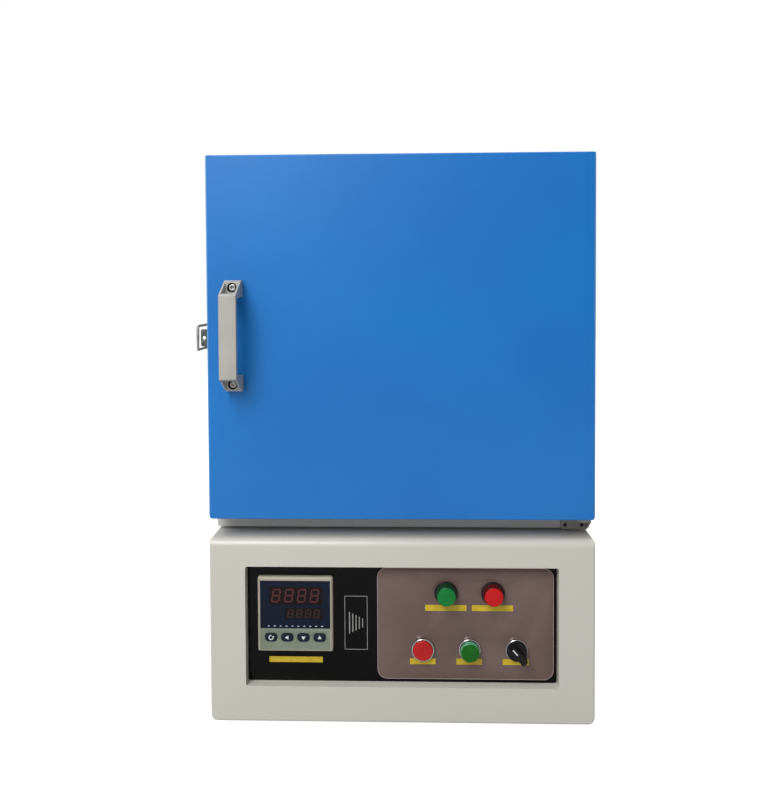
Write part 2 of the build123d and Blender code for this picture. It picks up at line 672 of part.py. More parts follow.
# Selector: a round knob with a lever across it, on a stem in its barrel
knob_ys = (plate_front - KNOB_HEIGHT, plate_front - WELL_FLOOR - FIT)
knob = rod_y(button_x[2], button_z, SELECTOR_BEZEL[2] - FIT, knob_ys)
lever_face = outline(
    (-LEVER_TAIL, -LEVER_TAIL_HALF, LEVER_TAIL_ROUND),
    (LEVER_NOSE, -LEVER_NOSE_HALF, LEVER_NOSE_ROUND),
    (LEVER_NOSE, LEVER_NOSE_HALF, LEVER_NOSE_ROUND),
    (-LEVER_TAIL, LEVER_TAIL_HALF, LEVER_TAIL_ROUND),
)
lever = prism_xz(Rot(0, 0, SELECTOR_ANGLE) * lever_face, (plate_front - LEVER_HEIGHT, knob_ys[0]))
knob += Pos(button_x[2], 0, button_z) * lever
knob += rod_y(button_x[2], button_z, STEM_RADIUS, (knob_ys[1], barrel_back - FIT))
place("selector_knob", knob)

# Heat sink with the relay on it
sink_x = (-side + SINK_FROM_SIDE, -side + SINK_FROM_SIDE + SINK_SIZE[0])
sink_y = (SINK_DEPTH, SINK_DEPTH + SINK_SIZE[1])
sink_top = floor_top + SINK_SIZE[2]
sink_middle = (sum(sink_x) / 2, sum(sink_y) / 2)
sink = block(sink_x, sink_y, (sink_top - SINK_BASE, sink_top))
fin_pitch = (SINK_SIZE[0] - SINK_FIN) / (SINK_FINS - 1)
for fin_x in row_of(SINK_FINS, fin_pitch, sink_middle[0]):
    sink += block(span(fin_x, SINK_FIN), sink_y, (floor_top, sink_top - SINK_BASE / 2))
place("relay_heat_sink", sink)
relay_x = span(sink_middle[0], RELAY_SIZE[0])
relay_y = span(sink_middle[1], RELAY_SIZE[1])
relay_top = sink_top + RELAY_SIZE[2]
relay = block(relay_x, relay_y, (sink_top, relay_top))
for x, y, inward in zip(relay_x, relay_y, (1, -1)):
    step_x = (x - inward * OVERCUT, x + inward * RELAY_STEP[0])
    step_y = (y - inward * OVERCUT, y + inward * RELAY_STEP[1])
    relay -= block(step_x, step_y, (relay_top - RELAY_STEP[2], relay_top + OVERCUT))
place("solid_state_relay", relay)

# Mounting rail with the circuit breaker and six terminals
rail_x = (-RAIL_FROM_MIDDLE, RAIL_LENGTH - RAIL_FROM_MIDDLE)
rail_y = span(RAIL_DEPTH, RAIL_CHANNEL)
rail_top = floor_top + RAIL_HEIGHT
rail = block(rail_x, rail_y, (floor_top, floor_top + RAIL_SHEET))
for wall_y, outward in zip(rail_y, (-1, 1)):
    rail += block(rail_x, (wall_y, wall_y - outward * RAIL_SHEET), (floor_top, rail_top))
    rail += block(rail_x, (wall_y, wall_y + outward * RAIL_LIP), (rail_top - RAIL_SHEET, rail_top))
place("mounting_rail", rail)
breaker_y = span(RAIL_DEPTH, BREAKER_DEPTH)
nose_y = span(RAIL_DEPTH, BREAKER_NOSE)
shoulder = rail_top + BREAKER_SHOULDER
breaker_top = rail_top + BREAKER_HEIGHT
breaker_face = Polygon(
    (breaker_y[0], rail_top), (breaker_y[1], rail_top), (breaker_y[1], shoulder), (nose_y[1], shoulder),
    (nose_y[1], breaker_top), (nose_y[0], breaker_top), (nose_y[0], shoulder), (breaker_y[0], shoulder),
    align=None,
)
breaker_left = rail_x[0] + BREAKER_FROM_END
place("circuit_breaker", prism_yz(breaker_face, (breaker_left, breaker_left + BREAKER_WIDTH)))
terminals = []
for i in range(TERMINAL_COUNT):
    left = rail_x[0] + TERMINAL_FROM_END + i * TERMINAL_PITCH
    terminal_x = (left, left + TERMINAL_SIZE[0])
    terminal_y = span(RAIL_DEPTH, TERMINAL_SIZE[1])
    terminal_top = rail_top + TERMINAL_SIZE[2]
    terminal = block(terminal_x, terminal_y, (rail_top, terminal_top))
    entry_z = (rail_top + TERMINAL_ENTRY_FLOOR, terminal_top + OVERCUT)
    for y, inward in zip(terminal_y, (1, -1)):
        entry_y = (y - inward * OVERCUT, y + inward * TERMINAL_ENTRY)
        terminal -= block(grown(terminal_x, -TERMINAL_ENTRY_WALL), entry_y, entry_z)
    terminals.append(terminal)
place("terminal_block", *terminals)

# Cooling fan: square frame with a motor disc on four spokes, rotor with pitched blades
fan_ys = (sheet_back - FAN_THICKNESS, sheet_back)
disc_ys = (fan_ys[0], fan_ys[0] + MOTOR_DISC)
fan_face = rectangle(span(fan_x, FAN_SIZE), span(fan_z, FAN_SIZE), FAN_CORNER, FAN_CORNER)
fan_frame = prism_xz(fan_face, fan_ys) - rod_y(fan_x, fan_z, FAN_BORE_RADIUS, grown(fan_ys, OVERCUT))
fan_frame += rod_y(fan_x, fan_z, FAN_HUB_RADIUS, disc_ys)
spoke = Box(2 * FAN_BORE_RADIUS + 1, MOTOR_SPOKE[0], MOTOR_SPOKE[1])
for turn in (45, 135):
    fan_frame += Pos(fan_x, fan_ys[0] + MOTOR_SPOKE[0] / 2, fan_z) * Rot(0, turn, 0) * spoke
fan_frame -= rod_y(fan_x, fan_z, FAN_SHAFT_RADIUS + RUNNING, grown(disc_ys, OVERCUT))
place("fan_frame", fan_frame)
hub_ys = (disc_ys[1] + FIT, fan_ys[1] - FAN_HUB_SETBACK)
rotor = rod_y(fan_x, fan_z, FAN_HUB_RADIUS, hub_ys)
rotor += rod_y(fan_x, fan_z, FAN_SHAFT_RADIUS, (fan_ys[0], hub_ys[0]))
blade_root = FAN_HUB_RADIUS - FAN_BLADE_ROOT
blade_length = FAN_BORE_RADIUS - FAN_BLADE_GAP - blade_root
blade = Box(blade_length, FAN_BLADE_THICKNESS, FAN_BLADE_CHORD)
blade = Pos(blade_root + blade_length / 2, 0, 0) * Rot(FAN_BLADE_PITCH, 0, 0) * blade
for i in range(FAN_BLADES):
    rotor += Pos(fan_x, sum(hub_ys) / 2, fan_z) * Rot(0, 360 / FAN_BLADES * i, 0) * blade
place("fan_rotor", rotor)

# Cord gland: threaded sleeve with a hexagon on each side of the panel and a clamping cap
gland_tip = full_depth + GLAND_REACH
gland_inner = sheet_back - GLAND_INSIDE
hexagon = Pos(gland_x, gland_z) * RegularPolygon(GLAND_HEX, 6)
hex_back = full_depth + GLAND_HEX_HEIGHT
gland = rod_y(gland_x, gland_z, GLAND_RADIUS, (gland_inner, full_depth))
gland += prism_xz(hexagon, (full_depth, hex_back))
gland += prism_xz(hexagon, (sheet_back - GLAND_HEX_HEIGHT, sheet_back))
cap_profile = [
    (0, hex_back),
    (GLAND_CAP_RADIUS, hex_back),
    (GLAND_CAP_RADIUS, gland_tip - GLAND_CAP_TAPER[1]),
    (GLAND_CAP_RADIUS - GLAND_CAP_TAPER[0], gland_tip),
    (0, gland_tip),
]
gland += turned_y(gland_x, gland_z, cap_profile)
gland -= rod_y(gland_x, gland_z, GLAND_BORE, grown((gland_inner, gland_tip), OVERCUT))
place("cord_gland", gland)

# Upper body: wrapped shell with slots in both sides and the flue's hole in the top
body_x = (-side, side)
body_z = (body_low, body_top)
flue_y = BODY_SETBACK + FLUE_SETBACK
flue_outside = FLUE_BORE + FLUE_WALL
flue_hole = rod_z(0, flue_y, flue_outside, (chamber_z, body_top + OVERCUT))


def body_face(inset):
    """The body's outline seen from the front."""
    bend = BODY_BEND - inset
    return rectangle(grown(body_x, -inset), grown(body_z, -inset), bend, bend)


shell_ys = (frame_back, sheet_back)
shell = prism_xz(body_face(0), shell_ys) - prism_xz(body_face(SHEET), grown(shell_ys, OVERCUT))
shell -= flue_hole
body_slot_z = (chamber_z - BODY_SLOT_DROP, chamber_z - BODY_SLOT_DROP + SLOT_LENGTH)
for slot_y in row_of(SLOT_COUNT, SLOT_PITCH, full_depth - BODY_SLOT_FROM_BACK):
    for x in body_x:
        shell -= block(span(x, 4 * SHEET), span(slot_y, SLOT_WIDTH), body_slot_z)
place("body_shell", shell)

# Rear panel of the body: two columns of pressed louvres that open downwards
louvre_face = Polygon(
    (sheet_back, 0), (full_depth + LOUVRE_PROUD, 0), (sheet_back, LOUVRE_HEIGHT), align=None
)
louvre_void = Polygon(
    (sheet_back - SHEET, -OVERCUT),
    (full_depth + LOUVRE_PROUD - SHEET, -OVERCUT),
    (full_depth + LOUVRE_PROUD - 2 * SHEET, SHEET / 2),
    (sheet_back - SHEET, LOUVRE_HEIGHT - SHEET),
    align=None,
)
body_rear = prism_xz(body_face(0), (sheet_back, full_depth))
for i in range(LOUVRE_COUNT):
    lift = Pos(0, body_low + LOUVRE_RISE + i * LOUVRE_PITCH)
    for x in (-LOUVRE_FROM_MIDDLE, LOUVRE_FROM_MIDDLE):
        louvre_x = span(x, LOUVRE_LENGTH)
        body_rear += prism_yz(lift * louvre_face, louvre_x)
        body_rear -= prism_yz(lift * louvre_void, grown(louvre_x, -SHEET))
place("body_rear_panel", body_rear)

# Liner: an open steel box round the insulation, on two channel rails
muffle_x = span(0, CHAMBER_WIDTH + 2 * MUFFLE_WALL)
muffle_z = span(chamber_z, CHAMBER_HEIGHT + 2 * MUFFLE_WALL)
lining_x = grown(muffle_x, INSULATION_WALL)
lining_z = grown(muffle_z, INSULATION_WALL)
liner = block(grown(lining_x, SHEET), (frame_back, liner_back), grown(lining_z, SHEET))
liner -= block(lining_x, (frame_back - OVERCUT, liner_back - SHEET), lining_z)
rail_z = (body_low + SHEET, lining_z[0] - SHEET)
rail_ys = (frame_back + LINER_RAIL_SETBACK, liner_back - LINER_RAIL_SETBACK)
liner_rails = []
for x in (-LINER_RAIL_FROM_MIDDLE, LINER_RAIL_FROM_MIDDLE):
    channel_x = span(x, LINER_RAIL_WIDTH)
    channel_void = (channel_x[0] + SHEET, channel_x[1] + OVERCUT)
    channel = block(channel_x, rail_ys, rail_z)
    liner_rails.append(channel - block(channel_void, grown(rail_ys, OVERCUT), grown(rail_z, -SHEET)))

# Bores through the back for the probe and the ends of the elements
probe_z = chamber_z + PROBE_RISE
element_x = CHAMBER_WIDTH / 2 + POCKET_DEPTH / 2
pass_z = row_of(ELEMENT_PASSES, ELEMENT_PITCH, chamber_z)
tail_places = [(sx * element_x, z) for sx in (-1, 1) for z in (pass_z[0], pass_z[-1])]
bore_ys = grown((chamber_back, liner_back), OVERCUT)
bores = [rod_y(0, probe_z, PROBE_RADIUS + FIT, bore_ys)]
bores += [rod_y(x, z, ELEMENT_RADIUS + FIT, bore_ys) for x, z in tail_places]

# Muffle: floor, roof, two grooved side walls with ledges for the elements, and a back
chamber_x = span(0, CHAMBER_WIDTH)
chamber_zs = span(chamber_z, CHAMBER_HEIGHT)
room_ys = (muffle_front, chamber_back)
pocket_ys = (muffle_front + PLUG_LENGTH + POCKET_SETBACK, chamber_back)
ledge_ys = grown(pocket_ys, -LEDGE_END_ROOM)
muffle_boards = [
    block(muffle_x, room_ys, (muffle_z[0], chamber_zs[0])),
    block(muffle_x, room_ys, (chamber_zs[1], muffle_z[1])) - flue_hole,
]
for wall_x, outward in zip(chamber_x, (-1, 1)):
    wall = block((wall_x, wall_x + outward * MUFFLE_WALL), room_ys, chamber_zs)
    pocket_x = (wall_x - outward * OVERCUT, wall_x + outward * POCKET_DEPTH)
    wall -= block(pocket_x, pocket_ys, grown((pass_z[0], pass_z[-1]), POCKET_MARGIN))
    for low, high in zip(pass_z, pass_z[1:]):
        ledge_z = (low + ELEMENT_RADIUS + LEDGE_GAP, high - ELEMENT_RADIUS - FIT)
        wall += block((wall_x, wall_x + outward * POCKET_DEPTH), ledge_ys, ledge_z)
    muffle_boards.append(wall)
muffle_end = block(muffle_x, (chamber_back, muffle_back), muffle_z)
rear_board = block(lining_x, (muffle_back, liner_back - SHEET), lining_z)
for bore in bores:
    muffle_end -= bore
    rear_board -= bore
    liner -= bore
place("muffle_chamber", *muffle_boards, muffle_end)
place("inner_liner", liner - flue_hole, *liner_rails)

# Fibre boards between muffle and liner, and the hearth plate on the muffle's floor
board_ys = (frame_back, muffle_back)
boards = [
    block(lining_x, board_ys, (lining_z[0], muffle_z[0])),
    block(lining_x, board_ys, (muffle_z[1], lining_z[1])) - flue_hole,
    block((lining_x[0], muffle_x[0]), board_ys, muffle_z),
    block((muffle_x[1], lining_x[1]), board_ys, muffle_z),
    rear_board,
]
place("insulation_boards", *boards)
hearth_ys = (pocket_ys[0], chamber_back - HEARTH_PLAY)
hearth_z = (chamber_zs[0], chamber_zs[0] + HEARTH_THICKNESS)
place("hearth_plate", block(grown(chamber_x, -HEARTH_PLAY), hearth_ys, hearth_z))


def heating_element(x):
    """A rod bent to and fro along a side wall, with both ends led out through the back."""
    turn = ELEMENT_PITCH / 2
    front_turn = pocket_ys[0] + ELEMENT_CLEARANCE + turn
    back_turn = chamber_back - ELEMENT_CLEARANCE - turn
    edges = []
    for i, z in enumerate(pass_z):
        back_end = liner_back + ELEMENT_TAIL if z in (pass_z[0], pass_z[-1]) else back_turn
        ends = [(x, back_end, z), (x, front_turn, z)]
        towards_back = i % 2 == 1
        if towards_back:
            ends.reverse()
        edges.append(Line(*ends))
        if z < pass_z[-1]:
            turn_y = back_turn if towards_back else front_turn
            crown_y = turn_y + turn if towards_back else turn_y - turn
            edges.append(ThreePointArc((x, turn_y, z), (x, crown_y, z + turn), (x, turn_y, z + 2 * turn)))
    path = Wire(edges)
    return sweep(Plane(path @ 0, z_dir=path % 0) * Circle(ELEMENT_RADIUS), path=path)


place("heating_elements", heating_element(-element_x), heating_element(element_x))

# Insulators and clamps on the elements' ends behind the liner
terminal_studs = []
insulator_ys = (liner_back, liner_back + INSULATOR_LENGTH)
clamp_front = insulator_ys[1] + TERMINAL_CLAMP_GAP
clamp_ys = (clamp_front, clamp_front + TERMINAL_CLAMP[1])
for x, z in tail_places:
    insulator = rod_y(x, z, INSULATOR_RADIUS, insulator_ys)
    insulator -= rod_y(x, z, ELEMENT_RADIUS + FIT, grown(insulator_ys, OVERCUT))
    clamp = block(span(x, TERMINAL_CLAMP[0]), clamp_ys, span(z, TERMINAL_CLAMP[0]))
    clamp -= rod_y(x, z, ELEMENT_RADIUS, grown(clamp_ys, OVERCUT))
    terminal_studs += [insulator, clamp]
place("element_terminals", *terminal_studs)

# Thermocouple through the back, with its head behind the liner
probe = rod_y(0, probe_z, PROBE_RADIUS, (chamber_back - PROBE_REACH, liner_back + PROBE_STEPS[1][1]))
for radius, start, end in PROBE_STEPS:
    probe += rod_y(0, probe_z, radius, (liner_back + start, liner_back + end))
place("thermocouple", probe)

# Flue: ceramic tube through the roof and a steel collar on the top
collar_top = body_top + FLUE_COLLAR_HEIGHT
tube_z = (chamber_zs[1], collar_top - FLUE_TUBE_DROP)
flue_tube = rod_z(0, flue_y, flue_outside - FIT, tube_z) - rod_z(0, flue_y, FLUE_BORE, grown(tube_z, OVERCUT))
place("flue_tube", flue_tube)
collar = rod_z(0, flue_y, FLUE_COLLAR_RADIUS, (body_top, collar_top))
flange_z = (body_top, body_top + FLUE_FLANGE_THICKNESS)
collar += rod_z(0, flue_y, FLUE_COLLAR_RADIUS + FLUE_FLANGE_WIDTH, flange_z)
collar -= rod_z(0, flue_y, flue_outside, grown((body_top, collar_top), OVERCUT))
place("flue_collar", collar)

# Hinge brackets with their lugs, pins with a washer face, and the screws into the front frame
hinge_x = side - HINGE_FROM_EDGE
plate_depth = (BODY_SETBACK - HINGE_PLATE_THICKNESS, BODY_SETBACK)
lug_x = span(hinge_x, 2 * HINGE_LUG_RADIUS)
bracket_right = side - HINGE_PLATE_FROM_SIDE
bracket_x = (bracket_right - HINGE_PLATE_WIDTH, bracket_right)
lower_top = door_low - HINGE_WASHER - FIT
upper_top = door_top - HINGE_UPPER_DROP
lower_lug = (lower_top - HINGE_LUG_THICKNESS, lower_top)
upper_lug = (upper_top - HINGE_LUG_THICKNESS, upper_top)
upper_bracket_z = grown(upper_lug, HINGE_UPPER_MARGIN)


def hinge_bracket(plate_face, lug_z):
    """A plate on the body's front frame with a lug that rounds off about the hinge axis."""
    tongue = block(lug_x, (HINGE_DEPTH, BODY_SETBACK), lug_z)
    bracket = prism_xz(plate_face, plate_depth) + tongue
    bracket += rod_z(hinge_x, HINGE_DEPTH, HINGE_LUG_RADIUS, lug_z)
    return bracket - rod_z(hinge_x, HINGE_DEPTH, HINGE_PIN_RADIUS, grown(lug_z, OVERCUT))


lower_face = rectangle(bracket_x, (lower_top - HINGE_PLATE_HEIGHT, lower_top), HINGE_PLATE_CORNER, 0)
upper_face = rectangle(bracket_x, upper_bracket_z, HINGE_PLATE_CORNER, HINGE_PLATE_CORNER)
lower_bracket = hinge_bracket(lower_face, lower_lug)
upper_bracket = hinge_bracket(upper_face, upper_lug)
gusset = Polygon(
    (HINGE_DEPTH - GUSSET_REACH, lower_lug[0]),
    (BODY_SETBACK, lower_lug[0]),
    (BODY_SETBACK, body_low),
    (BODY_SETBACK - GUSSET_REACH, body_low),
    align=None,
)
lower_bracket += prism_yz(gusset, (bracket_right - HINGE_GUSSET, bracket_right))
pins = []
for lug_z in (lower_lug, upper_lug):
    pin_top = lug_z[1] + HINGE_WASHER + HINGE_BUSH_HEIGHT + HINGE_PIN_END
    washer_z = (lug_z[1], lug_z[1] + HINGE_WASHER)
    pin = rod_z(hinge_x, HINGE_DEPTH, HINGE_PIN_RADIUS, (lug_z[0], pin_top))
    pins.append(pin + rod_z(hinge_x, HINGE_DEPTH, HINGE_WASHER_RADIUS, washer_z))
place("hinge_pins", *pins)

front = prism_xz(body_face(0), (BODY_SETBACK, frame_back))
front -= block(grown(muffle_x, FIT), grown((BODY_SETBACK, frame_back), OVERCUT), grown(muffle_z, FIT))
bracket_screws = []
for offset in BRACKET_SCREW_PLACES:
    x = hinge_x + offset
    for z in (body_low + BRACKET_SCREW_RISE, upper_bracket_z[0] + BRACKET_SCREW_RISE):
        head_ys = (plate_depth[0] - BRACKET_HEAD_HEIGHT, plate_depth[0])
        shank_ys = (plate_depth[0], frame_back + BRACKET_SCREW_END)
        screw = rod_y(x, z, BRACKET_HEAD_RADIUS, head_ys) + rod_y(x, z, BRACKET_SCREW_RADIUS, shank_ys)
        bracket_screws.append(screw)
        hole = rod_y(x, z, BRACKET_SCREW_RADIUS, grown(shank_ys, OVERCUT))
        lower_bracket -= hole
        upper_bracket -= hole
        front -= hole
place("hinge_brackets", lower_bracket, upper_bracket)
place("bracket_screws", *bracket_screws)
place("body_front_frame", front)


# Door skin: folded tray with shallow folds beside its edges, open at the back
def door_hull(inset, ys):
    """The door's outside with its edge folds, or its inside when inset by the sheet."""
    xs = grown((-side, side), -inset)
    zs = grown((door_low, door_top), -inset)
    fold = side - DOOR_FOLD_FROM_EDGE
    bend = DOOR_EDGE_BEND - inset
    top_bend = DOOR_TOP_BEND - inset
    plan = outline(
        (-fold, ys[0], 0),
        (fold, ys[0], 0),
        (xs[1], ys[0] + DOOR_FOLD_FALL, bend),
        (xs[1], ys[1], 0),
        (xs[0], ys[1], 0),
        (xs[0], ys[0] + DOOR_FOLD_FALL, bend),
    )
    low_bend = (ys[0], zs[0], top_bend)
    high_bend = (ys[0], zs[1], top_bend)
    profile = outline(low_bend, (ys[1], zs[0], 0), (ys[1], zs[1], 0), high_bend)
    front_face = rectangle(xs, zs, DOOR_LOW_CORNER - inset, DOOR_HIGH_CORNER - inset)
    return prism_xz(front_face, ys) & prism_xy(plan, zs) & prism_yz(profile, xs)


skin_back = DOOR_THICKNESS - SHEET
notch_z = grown(upper_lug, LUG_ROOM)
notch_x = (lug_x[0] - OVERCUT, side + OVERCUT)
handle_x = -side + HANDLE_FROM_EDGE
handle_z = door_low + HANDLE_RISE
handle_screw_z = span(handle_z, HANDLE_SCREW_SPACING)
skin = door_hull(0, (0, skin_back)) - door_hull(SHEET, (SHEET, skin_back + OVERCUT))
skin -= block(notch_x, (DOOR_NOTCH_DEPTH, DOOR_THICKNESS + OVERCUT), notch_z)
skin -= rod_z(hinge_x, HINGE_DEPTH, HINGE_PIN_RADIUS + SHEET, span(door_low + SHEET / 2, SHEET + 2 * OVERCUT))
for z in handle_screw_z:
    skin -= rod_y(handle_x, z, HANDLE_SCREW_RADIUS, grown((0, SHEET), OVERCUT))
place("door_skin", skin)

# Inner plate that closes the door, and the fibre board inside it
inner_x = grown((-side, side), -FIT)
inner_z = grown((door_low, door_top), -FIT)
inner_face = rectangle(inner_x, inner_z, DOOR_LOW_CORNER - FIT, DOOR_HIGH_CORNER - FIT)
inner_ys = (skin_back, DOOR_THICKNESS)
place("door_inner_plate", prism_xz(inner_face, inner_ys) - block(notch_x, grown(inner_ys, OVERCUT), notch_z))
board_right = lug_x[0] - HINGE_BUSH_MARGIN
board_x = (-side + SHEET + DOOR_EDGE_BEND, board_right)
board_z = grown((door_low, door_top), -SHEET - FIT)
board_front = SHEET + FIT + DOOR_FOLD_FALL
door_board = prism_xz(rectangle(board_x, board_z, DOOR_LOW_CORNER, DOOR_LOW_CORNER), (board_front, skin_back))
for z in handle_screw_z:
    door_board -= rod_y(handle_x, z, HANDLE_SCREW_RADIUS + HANDLE_SCREW_ROOM, (0, HANDLE_SCREW_END + OVERCUT))
place("door_insulation", door_board)

# Plug that fills the chamber's mouth, and the rope gasket round it
plug_width = CHAMBER_WIDTH - 2 * PLUG_CLEARANCE
plug_height = CHAMBER_HEIGHT - 2 * PLUG_CLEARANCE
sections = []
for depth, taper in ((DOOR_THICKNESS, 0), (DOOR_THICKNESS + PLUG_LENGTH, 2 * PLUG_TAPER)):
    section = Pos(0, chamber_z) * Rectangle(plug_width - taper, plug_height - taper)
    sections.append((Plane.XZ.offset(-depth) * section).faces()[0])
place("door_plug", loft(sections))
gasket_ys = (DOOR_THICKNESS, BODY_SETBACK - FIT)
gasket_size = GASKET_OPENING + 2 * GASKET_WIDTH
gasket_face = rectangle(span(0, gasket_size), span(chamber_z, gasket_size), GASKET_CORNER, GASKET_CORNER)
gasket_void = block(span(0, GASKET_OPENING), grown(gasket_ys, OVERCUT), span(chamber_z, GASKET_OPENING))
place("door_gasket", prism_xz(gasket_face, gasket_ys) - gasket_void)

# Bushes in the door's right edge that turn on the pins
bushes = []
for low in (door_low + SHEET, upper_top + HINGE_WASHER + FIT):
    bush_z = (low, low + HINGE_BUSH_HEIGHT)
    low_corner = (side - SHEET, bush_z[0], DOOR_LOW_CORNER)
    high_corner = (side - SHEET, bush_z[1], 0)
    bush_face = outline((board_right, bush_z[0], 0), low_corner, high_corner, (board_right, bush_z[1], 0))
    bush = prism_xz(bush_face, (HINGE_DEPTH - HINGE_BUSH_RADIUS, skin_back))
    bush -= rod_z(hinge_x, HINGE_DEPTH, HINGE_PIN_RADIUS + RUNNING, grown(bush_z, OVERCUT))
    bushes.append(bush)
place("hinge_bushes", *bushes)

# Handle: bridge with sloped hollow ends over two socket screws
handle_xs = span(handle_x, HANDLE_WIDTH)
half_long = HANDLE_LENGTH / 2
half_bar = HANDLE_BAR_LENGTH / 2
finger_back = HANDLE_BAR_THICKNESS - HANDLE_REACH
finger_half = half_bar - HANDLE_LEG_WALL
finger_top = finger_half - HANDLE_LEG_SLOPE
bridge = outline(
    (0, -half_long, 0),
    (-HANDLE_END_FACE, -half_long, HANDLE_FOOT_ROUND),
    (-HANDLE_REACH, -half_bar, HANDLE_EDGE_ROUND),
    (-HANDLE_REACH, half_bar, HANDLE_EDGE_ROUND),
    (-HANDLE_END_FACE, half_long, HANDLE_FOOT_ROUND),
    (0, half_long, 0),
    (0, finger_half, 0),
    (finger_back, finger_top, HANDLE_LEG_SLOPE),
    (finger_back, -finger_top, HANDLE_LEG_SLOPE),
    (0, -finger_half, 0),
)
handle = Pos(0, 0, handle_z) * prism_yz(bridge, handle_xs)
handle_screws = []
for z, outward in zip(handle_screw_z, (-1, 1)):
    pocket_z = (handle_z + outward * (half_long - HANDLE_RIM), handle_z + outward * (half_bar + HANDLE_RIM))
    pocket_ys = (-HANDLE_REACH - OVERCUT, -HANDLE_POCKET_FLOOR)
    head_ys = (-HEAD_SEAT - HEAD_HEIGHT, -HEAD_SEAT)
    handle -= block(grown(handle_xs, -HANDLE_RIM), pocket_ys, pocket_z)
    handle -= rod_y(handle_x, z, HEAD_RADIUS + HEAD_ROOM, (-HANDLE_POCKET_FLOOR - OVERCUT, -HEAD_SEAT))
    handle -= rod_y(handle_x, z, HANDLE_SCREW_RADIUS, grown((-HEAD_SEAT, 0), OVERCUT))
    socket = Pos(handle_x, z) * RegularPolygon(SOCKET_RADIUS, 6)
    head = rod_y(handle_x, z, HEAD_RADIUS, head_ys)
    head -= prism_xz(socket, (head_ys[0] - OVERCUT, head_ys[0] + SOCKET_DEPTH))
    handle_screws.append(head + rod_y(handle_x, z, HANDLE_SCREW_RADIUS, (-HEAD_SEAT, HANDLE_SCREW_END)))
place("handle", handle)
place("handle_screws", *handle_screws)

# Latch keeper: an angle with an eye on the door's left edge
latch_z = handle_z - LATCH_DROP
left = -side
keeper_z = span(latch_z, KEEPER_HEIGHT)
keeper_ys = (KEEPER_DEPTH, KEEPER_DEPTH + KEEPER_THICKNESS)
keeper = block((left - KEEPER_THICKNESS, left), (KEEPER_DEPTH, DOOR_THICKNESS - KEEPER_FROM_BACK), keeper_z)
hook = prism_xz(rectangle((left - KEEPER_REACH, left), keeper_z, KEEPER_CORNER, KEEPER_CORNER), keeper_ys)
eye_x = left - KEEPER_REACH + KEEPER_EYE_FROM_TIP
place("latch_keeper", keeper + hook - rod_y(eye_x, latch_z, KEEPER_EYE_RADIUS, grown(keeper_ys, OVERCUT)))

# Latch base: a plate with two ears and the pin on the body's left side
pin_x = left - LATCH_REACH + LATCH_EYE_SETBACK
latch_zs = span(latch_z, LATCH_HEIGHT)
ear_face = outline(
    (left, LATCH_PIVOT_DEPTH - LATCH_EAR_ROOT, 0),
    (left, LATCH_PIVOT_DEPTH + LATCH_EAR_ROOT, 0),
    (left - LATCH_REACH, LATCH_PIVOT_DEPTH + LATCH_EAR_TIP, LATCH_EAR_ROUND),
    (left - LATCH_REACH, LATCH_PIVOT_DEPTH - LATCH_EAR_TIP, LATCH_EAR_ROUND),
)
base_ys = span(LATCH_PIVOT_DEPTH, LATCH_BASE_LENGTH)
latch_base = block((left - LATCH_BASE_PLATE, left), base_ys, grown(latch_zs, -OVERCUT))
for z, inward in zip(latch_zs, (1, -1)):
    ear_low = z + inward * (LATCH_BAR + FIT)
    latch_base += prism_xy(ear_face, sorted((ear_low, ear_low + inward * LATCH_EAR_THICKNESS)))
latch_base -= rod_z(pin_x, LATCH_PIVOT_DEPTH, LATCH_PIN_RADIUS, grown(latch_zs, OVERCUT))
latch_pin = rod_z(pin_x, LATCH_PIVOT_DEPTH, LATCH_PIN_RADIUS, grown(latch_zs, LATCH_PIN_END))
place("latch_base", latch_base, latch_pin)

# Latch bail: a bar on two arms that turn on the pin
arm_x = (left - LATCH_REACH, left - LATCH_REACH + LATCH_BAR)
bail = block(arm_x, span(LATCH_BAR_DEPTH, LATCH_BAR), latch_zs)
for z, inward in zip(latch_zs, (1, -1)):
    arm_z = sorted((z, z + inward * LATCH_BAR))
    bail += block(arm_x, (LATCH_BAR_DEPTH, LATCH_PIVOT_DEPTH), arm_z)
    bail += rod_z(pin_x, LATCH_PIVOT_DEPTH, LATCH_PIN_RADIUS + LATCH_EYE_WALL, arm_z)
    bail -= rod_z(pin_x, LATCH_PIVOT_DEPTH, LATCH_PIN_RADIUS + RUNNING, grown(arm_z, OVERCUT))
place("latch_bail", bail)

# One file for each node
os.makedirs("parts", exist_ok=True)
for name, solids in PARTS.items():
    pieces = [p for s in solids for p in s.solids()]
    shape = pieces[0] if len(pieces) == 1 else Compound(children=pieces)
    export_step(shape, f"parts/{name}.step")
print(len(PARTS), "nodes")
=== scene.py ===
import math

import bmesh
import bpy
from mathutils import Matrix, Vector


